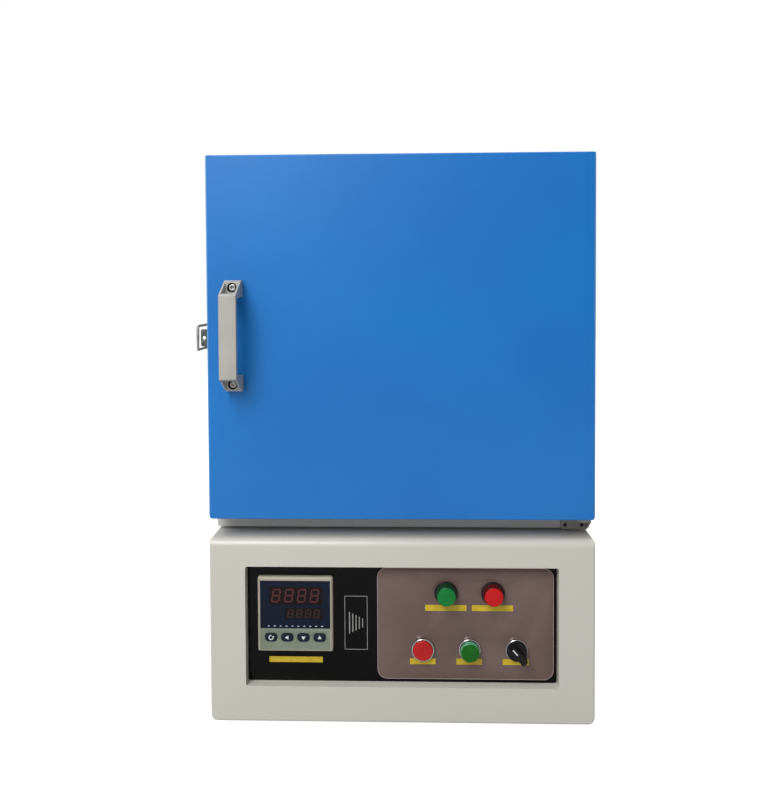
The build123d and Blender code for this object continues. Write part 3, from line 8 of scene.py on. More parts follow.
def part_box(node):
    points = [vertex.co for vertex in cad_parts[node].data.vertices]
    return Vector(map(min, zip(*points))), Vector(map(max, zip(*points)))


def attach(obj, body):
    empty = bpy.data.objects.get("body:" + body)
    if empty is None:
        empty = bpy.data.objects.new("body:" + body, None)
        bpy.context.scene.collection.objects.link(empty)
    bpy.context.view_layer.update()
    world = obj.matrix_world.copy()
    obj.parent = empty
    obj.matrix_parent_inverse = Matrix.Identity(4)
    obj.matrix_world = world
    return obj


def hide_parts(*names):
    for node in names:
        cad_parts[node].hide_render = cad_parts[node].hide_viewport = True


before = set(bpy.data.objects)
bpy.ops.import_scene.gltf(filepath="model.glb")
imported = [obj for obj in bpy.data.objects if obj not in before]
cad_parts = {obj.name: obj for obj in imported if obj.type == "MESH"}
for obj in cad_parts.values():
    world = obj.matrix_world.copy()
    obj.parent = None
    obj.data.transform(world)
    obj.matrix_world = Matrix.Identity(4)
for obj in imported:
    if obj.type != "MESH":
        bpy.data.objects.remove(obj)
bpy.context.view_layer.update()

# The studio
# A white room with a pale floor, a broad soft lamp high on the left and a weaker one on the right.
# The camera stands a metre in front of the door, a little above its middle, and looks slightly down.
scene = bpy.context.scene
scene.view_settings.view_transform = "Standard"

CAMERA_PLACE = (0.0253, -1.2331, 0.5611)
CAMERA_TURN = (88.30, 0.275, 1.72)
SENSOR_WIDTH = 36.0
FOCAL_PIXELS = 782.8
AXIS_ROW = 310.0
IMAGE_HEIGHT = 800.0

lens = bpy.data.cameras.new("camera")
lens.sensor_width = SENSOR_WIDTH
lens.lens = SENSOR_WIDTH * FOCAL_PIXELS / IMAGE_HEIGHT
lens.shift_y = (AXIS_ROW - IMAGE_HEIGHT / 2) / IMAGE_HEIGHT
camera = bpy.data.objects.new("camera", lens)
camera.location = CAMERA_PLACE
camera.rotation_euler = [math.radians(a) for a in CAMERA_TURN]
scene.collection.objects.link(camera)
scene.camera = camera

FURNACE_MIDDLE = Vector((0.0, -0.1, 0.37))


def soft_lamp(name, place, size, power):
    """A square soft box that points at the furnace's middle."""
    data = bpy.data.lights.new(name, "AREA")
    data.size = size
    data.energy = power
    lamp = bpy.data.objects.new(name, data)
    lamp.location = place
    lamp.rotation_euler = (FURNACE_MIDDLE - Vector(place)).to_track_quat("-Z", "Y").to_euler()
    scene.collection.objects.link(lamp)


soft_lamp("key_lamp", place=(-0.9, -1.9, 2.3), size=1.4, power=50)
soft_lamp("gloss_lamp", place=(-0.9, -2.6, 1.6), size=1.4, power=13)
soft_lamp("fill_lamp", place=(2.2, -1.8, 1.3), size=1.6, power=2)
soft_lamp("top_lamp", place=(0.0, 0.6, 2.6), size=1.8, power=16)


def feed(tree, value, socket):
    """Link a socket to another one, or give it a value of its own."""
    if isinstance(value, bpy.types.NodeSocket):
        tree.links.new(value, socket)
    else:
        socket.default_value = value


def range_node(tree, value, reach, result, ease="LINEAR"):
    """A node that stretches a value's reach to the range between two others."""
    node = tree.nodes.new("ShaderNodeMapRange")
    node.interpolation_type = ease
    labels = ("Value", "From Min", "From Max", "To Min", "To Max")
    for label, source in zip(labels, (value, *reach, *result)):
        feed(tree, source, node.inputs[label])
    return node.outputs["Result"]


def maths_node(tree, operation, *values):
    """A node that works out a sum of one or two values."""
    node = tree.nodes.new("ShaderNodeMath")
    node.operation = operation
    for value, socket in zip(values, node.inputs):
        feed(tree, value, socket)
    return node.outputs[0]


def mix_node(tree, kind, factor, first, second):
    """A node that blends two numbers, or two colours, by a factor."""
    node = tree.nodes.new("ShaderNodeMix")
    node.data_type = kind
    for label, source in (("Factor", factor), ("A", first), ("B", second)):
        feed(tree, source, node.inputs[label])
    return node.outputs["Result"]


ROOM_HEIGHTS = (-0.2, 1.0)
LIGHT_BY_HEIGHT = (0.30, 0.70)
ROOM_WIDTH = (-1.0, 1.0)
LIGHT_BY_SIDE = (1.15, 0.5)
DARK_WALL = Vector((0.15, -1.0, -0.25)).normalized()
DARK_WALL_EDGE = (0.80, 0.96)
DARK_WALL_LIGHT = (1.0, 0.03)
BACKDROP_LIGHT = 1.0

world = bpy.data.worlds.new("room")
scene.world = world
world.use_nodes = True
air = world.node_tree
backdrop = air.nodes["Background"]
direction = air.nodes.new("ShaderNodeTexCoord").outputs["Generated"]
axes = air.nodes.new("ShaderNodeSeparateXYZ")
air.links.new(direction, axes.inputs[0])
towards_dark = air.nodes.new("ShaderNodeVectorMath")
towards_dark.operation = "DOT_PRODUCT"
feed(air, direction, towards_dark.inputs[0])
feed(air, DARK_WALL, towards_dark.inputs[1])
by_height = range_node(air, axes.outputs["Z"], ROOM_HEIGHTS, LIGHT_BY_HEIGHT)
by_side = range_node(air, axes.outputs["X"], ROOM_WIDTH, LIGHT_BY_SIDE)
by_wall = range_node(air, towards_dark.outputs["Value"], DARK_WALL_EDGE, DARK_WALL_LIGHT, "SMOOTHSTEP")
room_light = maths_node(air, "MULTIPLY", maths_node(air, "MULTIPLY", by_height, by_side), by_wall)
rays = air.nodes.new("ShaderNodeLightPath").outputs
seen = maths_node(air, "MAXIMUM", rays["Is Camera Ray"], rays["Is Transmission Ray"])
backdrop.inputs["Color"].default_value = (1, 1, 1, 1)
feed(air, mix_node(air, "FLOAT", seen, room_light, BACKDROP_LIGHT), backdrop.inputs["Strength"])

FLOOR_SIDE = 14
FLOOR_GREY = (0.55, 0.55, 0.55, 1)
FLOOR_ROUGHNESS = 0.9
FLOOR_GLOW = 0.95

bpy.ops.object.select_all(action="DESELECT")
bpy.ops.mesh.primitive_plane_add(size=FLOOR_SIDE, location=(0, 0, 0))
floor = bpy.context.object
floor.name = "floor"
floor_paint = bpy.data.materials.new("floor_paint")
floor_paint.use_nodes = True
tree = floor_paint.node_tree
surface = tree.nodes["Principled BSDF"]
surface.inputs["Base Color"].default_value = FLOOR_GREY
surface.inputs["Roughness"].default_value = FLOOR_ROUGHNESS
surface.inputs["Emission Color"].default_value = (1, 1, 1, 1)
camera_ray = tree.nodes.new("ShaderNodeLightPath").outputs["Is Camera Ray"]
feed(tree, maths_node(tree, "MULTIPLY", camera_ray, FLOOR_GLOW), surface.inputs["Emission Strength"])
floor.data.materials.append(floor_paint)

# The cabinet
# A shell folded from steel sheet round a window, with slotted sides, a floor tray and a rear panel.
# It is powder coated warm grey: faint blotches, a fine orange peel and a satin shine.
# It stands on four rubber feet, and four zinc-plated spacers on its roof carry the body.
COATING_INPUTS = (
    ("Place", "NodeSocketVector"), ("Colour", "NodeSocketColor"), ("Blotch colour", "NodeSocketColor"),
    ("Blotch scale", "NodeSocketFloat"), ("Grain scale", "NodeSocketFloat"),
    ("Smooth", "NodeSocketFloat"), ("Rough", "NodeSocketFloat"),
)
COATING_OUTPUTS = (
    ("Colour", "NodeSocketColor"), ("Roughness", "NodeSocketFloat"), ("Height", "NodeSocketFloat"),
)
BLOTCH_DETAIL = 5.0
GRAIN_DETAIL = 2.0
COLOUR_REACH = (0.35, 0.65)
SHINE_REACH = (0.3, 0.7)

coating = bpy.data.node_groups.new("coating", "ShaderNodeTree")
for side, labels in (("INPUT", COATING_INPUTS), ("OUTPUT", COATING_OUTPUTS)):
    for label, kind in labels:
        coating.interface.new_socket(name=label, in_out=side, socket_type=kind)
entry = coating.nodes.new("NodeGroupInput").outputs
leave = coating.nodes.new("NodeGroupOutput").inputs


def noise_node(tree, place, scale, detail):
    """A noise that reads a place at a scale."""
    node = tree.nodes.new("ShaderNodeTexNoise")
    for label, source in (("Vector", place), ("Scale", scale), ("Detail", detail)):
        feed(tree, source, node.inputs[label])
    return node.outputs["Fac"]


blotch = noise_node(coating, entry["Place"], entry["Blotch scale"], BLOTCH_DETAIL)
grain = noise_node(coating, entry["Place"], entry["Grain scale"], GRAIN_DETAIL)
blotched = range_node(coating, blotch, COLOUR_REACH, (0.0, 1.0))
feed(coating, mix_node(coating, "RGBA", blotched, entry["Colour"], entry["Blotch colour"]), leave["Colour"])
feed(coating, range_node(coating, blotch, SHINE_REACH, (entry["Smooth"], entry["Rough"])), leave["Roughness"])
feed(coating, grain, leave["Height"])


def linear(level):
    """One level of a paint card's colour, from 0 to 255, as the renderer's linear value."""
    share = level / 255
    return share / 12.92 if level < 10 else ((share + 0.055) / 1.055) ** 2.4


def rgb(colour):
    """A paint card's colour as the renderer's linear colour."""
    return [linear(level) for level in colour] + [1.0]


RELIEF = 0.0002


def finish(
    name, colours, scales, roughness, metal=0.0, bump=0.0, relief=RELIEF, stretch=(1, 1, 1), **sockets
):
    """A material that places the coating group with its own pairs of colours, scales and roughness."""
    made = bpy.data.materials.new(name)
    made.use_nodes = True
    tree = made.node_tree
    shader = tree.nodes["Principled BSDF"]
    mapping = tree.nodes.new("ShaderNodeMapping")
    mapping.inputs["Scale"].default_value = stretch
    feed(tree, tree.nodes.new("ShaderNodeTexCoord").outputs["Object"], mapping.inputs["Vector"])
    look = tree.nodes.new("ShaderNodeGroup")
    look.node_tree = coating
    values = (mapping.outputs["Vector"], rgb(colours[0]), rgb(colours[1]), *scales, *roughness)
    for (label, _), value in zip(COATING_INPUTS, values):
        feed(tree, value, look.inputs[label])
    feed(tree, look.outputs["Colour"], shader.inputs["Base Color"])
    feed(tree, look.outputs["Roughness"], shader.inputs["Roughness"])
    if bump > 0:
        texture = tree.nodes.new("ShaderNodeBump")
        texture.inputs["Strength"].default_value = bump
        texture.inputs["Distance"].default_value = relief
        feed(tree, look.outputs["Height"], texture.inputs["Height"])
        feed(tree, texture.outputs["Normal"], shader.inputs["Normal"])
    shader.inputs["Metallic"].default_value = metal
    for label, value in sockets.items():
        shader.inputs[label.replace("_", " ")].default_value = value
    return made


def dress(material, *names):
    """Give CAD nodes a material in place of their plain one."""
    for name in names:
        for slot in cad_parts[name].material_slots:
            slot.material = material


grey_enamel = finish(
    "grey_enamel", colours=((200, 197, 188), (197, 194, 185)), scales=(3, 900), roughness=(0.27, 0.29),
    bump=0.06
)
dress(grey_enamel, "cabinet_shell", "cabinet_rear_panel", "cabinet_floor")

MERGE_REACH = 0.00001
FLAT_ANGLE = math.radians(0.5)
SHARP_ANGLE = math.radians(40)


def softened(name, node, body, material, rounding, segments=2):
    """A merged copy of a CAD node with its flat faces joined and its sharp edges rounded."""
    piece = bpy.data.objects.new(name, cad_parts[node].data.copy())
    scene.collection.objects.link(piece)
    bpy.ops.object.select_all(action="DESELECT")
    bpy.context.view_layer.objects.active = piece
    piece.select_set(True)
    bpy.ops.object.mode_set(mode="EDIT")
    bpy.ops.mesh.select_all(action="SELECT")
    bpy.ops.mesh.remove_doubles(threshold=MERGE_REACH)
    bpy.ops.mesh.dissolve_limited(angle_limit=FLAT_ANGLE)
    bpy.ops.mesh.normals_make_consistent(inside=False)
    bpy.ops.object.mode_set(mode="OBJECT")
    bevel = piece.modifiers.new("rounding", "BEVEL")
    bevel.width = rounding
    bevel.segments = segments
    bevel.limit_method = "ANGLE"
    bevel.angle_limit = SHARP_ANGLE
    bpy.ops.object.modifier_apply(modifier=bevel.name)
    bpy.ops.object.shade_smooth_by_angle(angle=SHARP_ANGLE)
    piece.data.materials.clear()
    piece.data.materials.append(material)
    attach(piece, body)
    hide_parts(node)
    return piece


foot_rubber = finish(
    "foot_rubber", colours=((42, 42, 42), (58, 57, 55)), scales=(60, 1500), roughness=(0.7, 0.9), bump=0.2
)
softened("moulded_feet", "rubber_feet", "furnace", foot_rubber, rounding=0.001)
zinc = finish(
    "zinc_plate", colours=((196, 196, 192), (170, 171, 168)), scales=(40, 1200), roughness=(0.26, 0.42),
    metal=1.0, bump=0.06
)
dress(zinc, "body_spacers")

# The panel
# A glossy black acrylic sheet behind the window, with a lighter enamelled plate for the buttons.
# Yellow strips are printed on both, the plate has a printed border, and a light outline with five
# bars is engraved beside it.
FRAME_SHIFT = Vector((0.0075, -0.259, 0.0))
ALONG = 0.999
FACING = 0.9


def drawn(x, z, depth):
    """A place given in millimetres from the furnace's middle plane, table and door front."""
    return Vector((x, depth, z)) / 1000 + FRAME_SHIFT


def around(middle, size):
    """The two ends of a size about its middle."""
    return (middle - size / 2, middle + size / 2)


def spaced(middle, pitch, count):
    """Evenly spaced places about a middle."""
    return [middle + (i - (count - 1) / 2) * pitch for i in range(count)]


def pick(piece, kind, test):
    """Select the edges or faces of a mesh in edit mode that pass a test."""
    bpy.ops.mesh.select_mode(type=kind)
    bpy.ops.mesh.select_all(action="DESELECT")
    mesh = bmesh.from_edit_mesh(piece.data)
    for part in {"EDGE": mesh.edges, "FACE": mesh.faces}[kind]:
        if test(part):
            part.select_set(True)
    mesh.select_flush_mode()
    bmesh.update_edit_mesh(piece.data)


def runs_back(edge):
    """True for an edge that runs from front to back."""
    return abs((edge.verts[1].co - edge.verts[0].co).normalized().y) > ALONG


def small_plate(xs, zs, seat, thickness, corner, segments=4):
    """A thin plate on a front face, with rounded corners."""
    low = drawn(xs[0], zs[0], seat - thickness)
    high = drawn(xs[1], zs[1], seat)
    bpy.ops.object.select_all(action="DESELECT")
    bpy.ops.mesh.primitive_cube_add(size=1, location=(low + high) / 2)
    piece = bpy.context.object
    piece.scale = high - low
    bpy.ops.object.transform_apply(location=True, rotation=True, scale=True)
    bpy.ops.object.mode_set(mode="EDIT")
    pick(piece, "EDGE", runs_back)
    bpy.ops.mesh.bevel(offset=corner / 1000, segments=segments, affect="EDGES")
    bpy.ops.object.mode_set(mode="OBJECT")
    return piece


def merged(pieces):
    """Join like pieces into the first of them."""
    bpy.ops.object.select_all(action="DESELECT")
    for piece in pieces:
        piece.select_set(True)
    bpy.context.view_layer.objects.active = pieces[0]
    if len(pieces) > 1:
        bpy.ops.object.join()
    return pieces[0]


def fixed(name, pieces, body, material):
    """Join like pieces into one with a name and a material, and fix it to a body."""
    whole = merged(pieces)
    whole.name = name
    whole.data.materials.clear()
    whole.data.materials.append(material)
    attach(whole, body)


acrylic = finish(
    "black_acrylic", colours=((3, 3, 3), (6, 6, 6)), scales=(14, 300), roughness=(0.04, 0.10),
    bump=0.01, Specular_IOR_Level=0.15
)
dress(acrylic, "control_panel")
plate_enamel = finish(
    "plate_enamel", colours=((112, 92, 87), (104, 84, 79)), scales=(11, 700), roughness=(0.14, 0.22),
    bump=0.04, Specular_IOR_Level=0.3, Coat_Weight=0.1, Coat_Roughness=0.06
)
softened("enamelled_plate", "button_plate", "furnace", plate_enamel, rounding=0.0005)

PANEL_FRONT = 15.0
PLATE_FRONT = 13.0
PRINT = 0.12
STRIP_CORNER = 0.6
CONTROLLER_STRIP = ((-170.1, -101.3), (79.1, 86.4))
LAMP_STRIPS = ((30.4, 83.0), (89.7, 142.0))
LAMP_STRIP_Z = (148.1, 155.7)
BUTTON_STRIPS = ((10.7, 43.5), (69.9, 102.5), (128.7, 161.7))
BUTTON_STRIP_Z = (78.9, 86.5)


def strip(xs, zs, seat):
    """A printed strip."""
    return small_plate(xs, zs, seat, PRINT, STRIP_CORNER)


strip_yellow = finish(
    "strip_yellow", colours=((206, 178, 34), (190, 162, 28)), scales=(90, 900), roughness=(0.42, 0.52),
    bump=0.05
)
controller_strip = strip(*CONTROLLER_STRIP, PANEL_FRONT)
fixed("controller_strip", [controller_strip], "furnace", strip_yellow)
button_strips = [strip(xs, LAMP_STRIP_Z, PLATE_FRONT) for xs in LAMP_STRIPS]
button_strips += [strip(xs, BUTTON_STRIP_Z, PLATE_FRONT) for xs in BUTTON_STRIPS]
fixed("button_strips", button_strips, "furnace", strip_yellow)

OUTLINE_SEGMENTS = 8


def outline(xs, zs, seat, width, corner):
    """A printed outline: a thin plate whose middle is inset and cut out."""
    piece = merged([small_plate(xs, zs, seat, PRINT, corner, OUTLINE_SEGMENTS)])
    bpy.ops.object.mode_set(mode="EDIT")
    pick(piece, "FACE", lambda f: abs(f.normal.y) > FACING)
    bpy.ops.mesh.inset(thickness=width / 1000)
    bpy.ops.mesh.bridge_edge_loops()
    bpy.ops.mesh.select_all(action="SELECT")
    bpy.ops.mesh.normals_make_consistent(inside=False)
    bpy.ops.object.mode_set(mode="OBJECT")
    return piece


BORDER_X = (-30.7, 193.3)
BORDER_Z = (59.85, 203.35)
BORDER_LINE = 0.7
BORDER_CORNER = 12.5
outline_grey = finish(
    "outline_grey", colours=((166, 150, 147), (158, 142, 139)), scales=(60, 900), roughness=(0.3, 0.4),
    bump=0.03
)
border = outline(BORDER_X, BORDER_Z, PLATE_FRONT, BORDER_LINE, BORDER_CORNER)
fixed("plate_outline", [border], "furnace", outline_grey)

ENGRAVED_X = (-72.8, -43.4)
ENGRAVED_Z = (96.1, 165.7)
ENGRAVED_LINE = 0.7
ENGRAVED_CORNER = 0.3
BAR_HEIGHTS = (28.0, 24.0, 20.0, 16.0, 12.0)
BAR_WIDTH = 1.4
BAR_PITCH = 4.2
BAR_CORNER = 0.6
engraving_grey = finish(
    "engraving_grey", colours=((150, 150, 148), (128, 128, 126)), scales=(80, 900), roughness=(0.5, 0.7),
    bump=0.1
)
lines = [outline(ENGRAVED_X, ENGRAVED_Z, PANEL_FRONT, ENGRAVED_LINE, ENGRAVED_CORNER)]
for x, high in zip(spaced(sum(ENGRAVED_X) / 2, BAR_PITCH, len(BAR_HEIGHTS)), BAR_HEIGHTS):
    bar_xs, bar_zs = around(x, BAR_WIDTH), around(sum(ENGRAVED_Z) / 2, high)
    lines.append(small_plate(bar_xs, bar_zs, PANEL_FRONT, PRINT, BAR_CORNER, segments=3))
fixed("engraved_outline", lines, "furnace", engraving_grey)

# The controller
# A bought-in controller of moulded beige plastic with a dark window, two unlit rows of digits
# and four navy rubber keys with printed symbols. It is clipped into the panel from behind.
FIELD_TOP = 0.126
FIELD_DEPTH = (0.0005, 0.0012)
beige_plastic = finish(
    "beige_plastic", colours=((172, 166, 150), (164, 158, 142)), scales=(25, 1800), roughness=(0.42, 0.52),
    bump=0.12
)
field_print = finish(
    "field_print", colours=((122, 131, 116), (114, 122, 107)), scales=(30, 1500), roughness=(0.36, 0.46),
    bump=0.05
)
bezel = softened(
    "moulded_bezel", "controller_bezel", "furnace", beige_plastic, rounding=0.0004
)
bezel.data.materials.append(field_print)
bezel_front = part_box("controller_bezel")[0][1]
for face in bezel.data.polygons:
    in_field = bezel_front + FIELD_DEPTH[0] < face.center.y < bezel_front + FIELD_DEPTH[1]
    if face.normal.y < -FACING and in_field and face.center.z < FIELD_TOP:
        face.material_index = 1

window_smoke = finish(
    "window_smoke", colours=((7, 20, 42), (6, 17, 36)), scales=(20, 500), roughness=(0.10, 0.16),
    bump=0.01, Specular_IOR_Level=0.2
)
display_smoke = finish(
    "display_smoke", colours=((18, 5, 8), (22, 7, 10)), scales=(30, 500), roughness=(0.12, 0.2),
    bump=0.01, Specular_IOR_Level=0.2
)
black_plastic = finish(
    "black_plastic", colours=((10, 10, 11), (16, 16, 16)), scales=(30, 1600), roughness=(0.38, 0.52),
    bump=0.15, Specular_IOR_Level=0.3
)
dress(window_smoke, "controller_window")
dress(display_smoke, "display_blocks")
dress(black_plastic, "controller_case", "lamp_bodies", "panel_nuts")
dress(zinc, "controller_clamps")

DISPLAY_FACE = 8.0
DIGITS_IN_ROW = 4
DIGIT_SLANT = 0.14
DIGIT_PRINT = 0.08
SEGMENT_POINT = 0.49
SEGMENT_SHORTENED = 0.4
segment_red = finish(
    "segment_red", colours=((84, 26, 26), (70, 20, 20)), scales=(120, 900), roughness=(0.3, 0.4), bump=0.02
)
segment_dark = finish(
    "segment_dark", colours=((52, 16, 18), (44, 13, 15)), scales=(120, 900), roughness=(0.3, 0.4), bump=0.02
)


def segment(x, z, wide, high):
    """One bar of a digit, pointed at both ends."""
    corner = min(wide, high) * SEGMENT_POINT
    return small_plate(around(x, wide), around(z, high), DISPLAY_FACE, DIGIT_PRINT, corner, segments=1)


def digits(name, middle, pitch, size, width, material):
    """A row of slanted seven-bar digits: one is modelled and the rest are copies of it."""
    wide, high = size
    reach = high / 2 - width / 2
    bars = [segment(0, z, wide - width, width) for z in (-reach, 0, reach)]
    for x in (-wide / 2 + width / 2, wide / 2 - width / 2):
        bars += [segment(x, z, width, reach - width * SEGMENT_SHORTENED) for z in (-reach / 2, reach / 2)]
    first = merged(bars)
    for vertex in first.data.vertices:
        vertex.co.x += DIGIT_SLANT * vertex.co.z
    row = []
    for x in spaced(middle[0], pitch, DIGITS_IN_ROW):
        digit = bpy.data.objects.new("digit", first.data.copy())
        scene.collection.objects.link(digit)
        digit.data.transform(Matrix.Translation(Vector((x, 0, middle[1])) / 1000))
        row.append(digit)
    bpy.data.objects.remove(first)
    fixed(name, row, "furnace", material)


digits("upper_digits", (-135.0, 168.2), pitch=16.4, size=(11.0, 17.5), width=1.9, material=segment_red)
digits("lower_digits", (-124.5, 145.1), pitch=11.2, size=(7.4, 10.4), width=1.2, material=segment_dark)

KEY_NAMES = ("key_set", "key_shift", "key_down", "key_up")
KEYS_MIDDLE = -135.2
KEY_PITCH = 20.7
KEY_X = spaced(KEYS_MIDDLE, KEY_PITCH, len(KEY_NAMES))
KEY_Z = 114.5
KEY_FACE = 7.0
KEY_PRINT = 0.1
ARROW_RADIUS = 3.0
ARROW_ROUNDING = 0.0003
ARROW_TURNS = (-90, 180, 0)
RING_RADIUS = 0.0032
RING_WIDTH = 0.0011
RING_CORNERS = 32
RING_GAP = (math.radians(10), math.radians(75))
RING_ARROW_RADIUS = 1.9
RING_ARROW_TURN = 160
RING_ARROW_ASIDE = 2.6
RING_ARROW_RAISED = 0.0006
FACE_FRONT = math.pi / 2


def arrow(x, turn, radius=ARROW_RADIUS):
    """A printed arrow: a flat three-sided prism, turned to point along the face."""
    bpy.ops.object.select_all(action="DESELECT")
    bpy.ops.mesh.primitive_cylinder_add(
        vertices=3, radius=radius / 1000, depth=KEY_PRINT / 1000,
        rotation=(FACE_FRONT, math.radians(turn), 0)
    )
    head = bpy.context.object
    bpy.ops.object.transform_apply(location=True, rotation=True, scale=True)
    bpy.ops.object.mode_set(mode="EDIT")
    pick(head, "EDGE", runs_back)
    bpy.ops.mesh.bevel(offset=ARROW_ROUNDING, segments=2, affect="EDGES")
    bpy.ops.object.mode_set(mode="OBJECT")
    head.data.transform(Matrix.Translation(drawn(x, KEY_Z, KEY_FACE - KEY_PRINT / 2)))
    return head


def open_ring(x):
    """A printed ring with a gap: a disc whose middle and one stretch of its rim are cut out."""
    bpy.ops.object.select_all(action="DESELECT")
    middle = drawn(x, KEY_Z, KEY_FACE)
    bpy.ops.mesh.primitive_circle_add(
        vertices=RING_CORNERS, radius=RING_RADIUS, fill_type="NGON", location=middle,
        rotation=(FACE_FRONT, 0, 0)
    )
    ring = bpy.context.object
    bpy.ops.object.transform_apply(location=True, rotation=True, scale=True)
    bpy.ops.object.mode_set(mode="EDIT")
    bpy.ops.mesh.select_all(action="SELECT")
    bpy.ops.mesh.inset(thickness=RING_WIDTH)
    bpy.ops.mesh.delete(type="FACE")

    def in_gap(face):
        at = face.calc_center_median() - middle
        return RING_GAP[0] < math.atan2(at.z, at.x) < RING_GAP[1]

    pick(ring, "FACE", in_gap)
    bpy.ops.mesh.delete(type="FACE")
    bpy.ops.mesh.select_all(action="SELECT")
    bpy.ops.mesh.extrude_region_move(TRANSFORM_OT_translate={"value": (0, -KEY_PRINT / 1000, 0)})
    bpy.ops.mesh.select_all(action="SELECT")
    bpy.ops.mesh.normals_make_consistent(inside=False)
    bpy.ops.object.mode_set(mode="OBJECT")
    return ring


print_white = finish(
    "print_white", colours=((226, 228, 232), (212, 215, 220)), scales=(90, 900), roughness=(0.45, 0.55),
    bump=0.02
)
key_rubber = finish(
    "key_rubber", colours=((6, 18, 32), (9, 22, 38)), scales=(60, 1500), roughness=(0.42, 0.55),
    bump=0.1, Specular_IOR_Level=0.3
)
ring_arrow = arrow(KEY_X[0] + RING_ARROW_ASIDE, RING_ARROW_TURN, RING_ARROW_RADIUS)
ring_arrow.data.transform(Matrix.Translation((0, 0, RING_ARROW_RAISED)))
symbols = [[open_ring(KEY_X[0]), ring_arrow]]
symbols += [[arrow(x, turn)] for x, turn in zip(KEY_X[1:], ARROW_TURNS)]
for name, symbol in zip(KEY_NAMES, symbols):
    softened(name + "_cap", name, name, key_rubber, rounding=0.0006, segments=3)
    fixed(name + "_symbol", symbol, name, print_white)

DASH_START = -169.2
DASH_RUN = 68.3
DASH_COUNT = 10
DASH_WIDTH = 2.6
DASH_Z = (128.6, 129.4)
DASH_CORNER = 0.2
DASH_PRINT = 0.06
WINDOW_FACE = 7.8
dashes = []
for i in range(DASH_COUNT):
    dash_xs = around(DASH_START + i * (DASH_RUN / (DASH_COUNT - 1)), DASH_WIDTH)
    dashes.append(small_plate(dash_xs, DASH_Z, WINDOW_FACE, DASH_PRINT, DASH_CORNER, segments=1))
fixed("window_dashes", dashes, "furnace", print_white)

# The pilot lamps
# Black moulded collars screwed through the plate, with a smoked lens and a bright coloured disc.
# The green lamp is on the left and the red one on the right.
LAMP_Z = 171.1
LAMP_X = (57.05, 116.55)
DISC_RADIUS = 11.5
DISC_FRONT = -1.7
LENS_FACE = -0.4
RIM_ROUNDING = 0.0005
DISC_CORNERS = 48
FLAT_FRONT = 0.99
RIM_FACE_CORNERS = 8
DOME_STEPS = (0.28, 0.28, 0.28)
DOME_RISE = 0.00012
DOME_ANGLE = math.radians(35)


def front_disc(name, body, material, slot, middle, radius, front, seat):
    """A shallow domed disc on a front face: a cylinder whose face is inset and pulled out in steps."""
    bpy.ops.object.select_all(action="DESELECT")
    bpy.ops.mesh.primitive_cylinder_add(
        vertices=DISC_CORNERS, radius=radius / 1000, depth=(seat - front) / 1000,
        location=drawn(*middle, (front + seat) / 2), rotation=(FACE_FRONT, 0, 0)
    )
    disc = bpy.context.object
    bpy.ops.object.transform_apply(location=True, rotation=True, scale=True)
    bpy.ops.object.mode_set(mode="EDIT")
    pick(disc, "FACE", lambda f: f.normal.y < -FACING)
    bpy.ops.mesh.bevel(offset=RIM_ROUNDING, segments=3, affect="EDGES")
    pick(disc, "FACE", lambda f: f.normal.y < -FLAT_FRONT and len(f.verts) > RIM_FACE_CORNERS)
    for step in DOME_STEPS:
        bpy.ops.mesh.inset(thickness=radius * step / 1000)
        bpy.ops.transform.translate(value=(0, -DOME_RISE, 0))
    bpy.ops.object.mode_set(mode="OBJECT")
    bpy.ops.object.shade_smooth_by_angle(angle=DOME_ANGLE)
    fixed(name, [disc], body, material)


lens_green = finish(
    "lens_green", colours=((6, 52, 30), (10, 66, 38)), scales=(60, 700), roughness=(0.12, 0.2),
    bump=0.02, Specular_IOR_Level=0.3
)
lens_red = finish(
    "lens_red", colours=((66, 8, 10), (84, 12, 12)), scales=(60, 700), roughness=(0.12, 0.2),
    bump=0.02, Specular_IOR_Level=0.3
)
disc_green = finish(
    "disc_green", colours=((8, 112, 46), (13, 124, 54)), scales=(90, 2400), roughness=(0.16, 0.26),
    bump=0.2, Specular_IOR_Level=0.25
)
disc_red = finish(
    "disc_red", colours=((182, 10, 14), (196, 18, 20)), scales=(90, 2400), roughness=(0.16, 0.26),
    bump=0.2, Specular_IOR_Level=0.25
)
softened("moulded_collars", "lamp_collars", "furnace", black_plastic, rounding=0.0004)
softened("green_lens_shell", "green_lamp_lens", "furnace", lens_green, rounding=0.0003)
softened("red_lens_shell", "red_lamp_lens", "furnace", lens_red, rounding=0.0003)
lamp_discs = (("green_lens_disc", disc_green, "lens_green"), ("red_lens_disc", disc_red, "lens_red"))
for x, (name, material, slot) in zip(LAMP_X, lamp_discs):
    front_disc(name, "furnace", material, slot, (x, LAMP_Z), DISC_RADIUS, DISC_FRONT, LENS_FACE)

# The buttons and the selector
# A flat red stop button and a green start button with a pale rim slide in chromed rings that are
# screwed to the plate. The selector is a black lever on a knob, with a white line on its nose.
START_FACE = {"middle": (86.8, 98.8), "radius": 11.5, "front": 0.8, "seat": 1.8}
chrome = finish(
    "ring_chrome", colours=((214, 214, 214), (196, 197, 199)), scales=(30, 500), roughness=(0.06, 0.14),
    metal=1.0, bump=0.01
)
red_cap = finish(
    "red_cap", colours=((186, 26, 26), (172, 20, 22)), scales=(50, 1200), roughness=(0.34, 0.44),
    bump=0.06, Specular_IOR_Level=0.3
)
green_cap = finish(
    "green_cap", colours=((96, 168, 128), (80, 150, 110)), scales=(50, 1200), roughness=(0.2, 0.3),
    bump=0.05, Coat_Weight=0.4
)
green_face = finish(
    "green_face", colours=((8, 98, 10), (6, 88, 8)), scales=(90, 2400), roughness=(0.2, 0.3),
    bump=0.1, Specular_IOR_Level=0.3
)
softened("chromed_rings", "button_bezels", "furnace", chrome, rounding=0.0004, segments=3)
softened("stop_cap", "stop_button", "stop_button", red_cap, rounding=0.0005, segments=3)
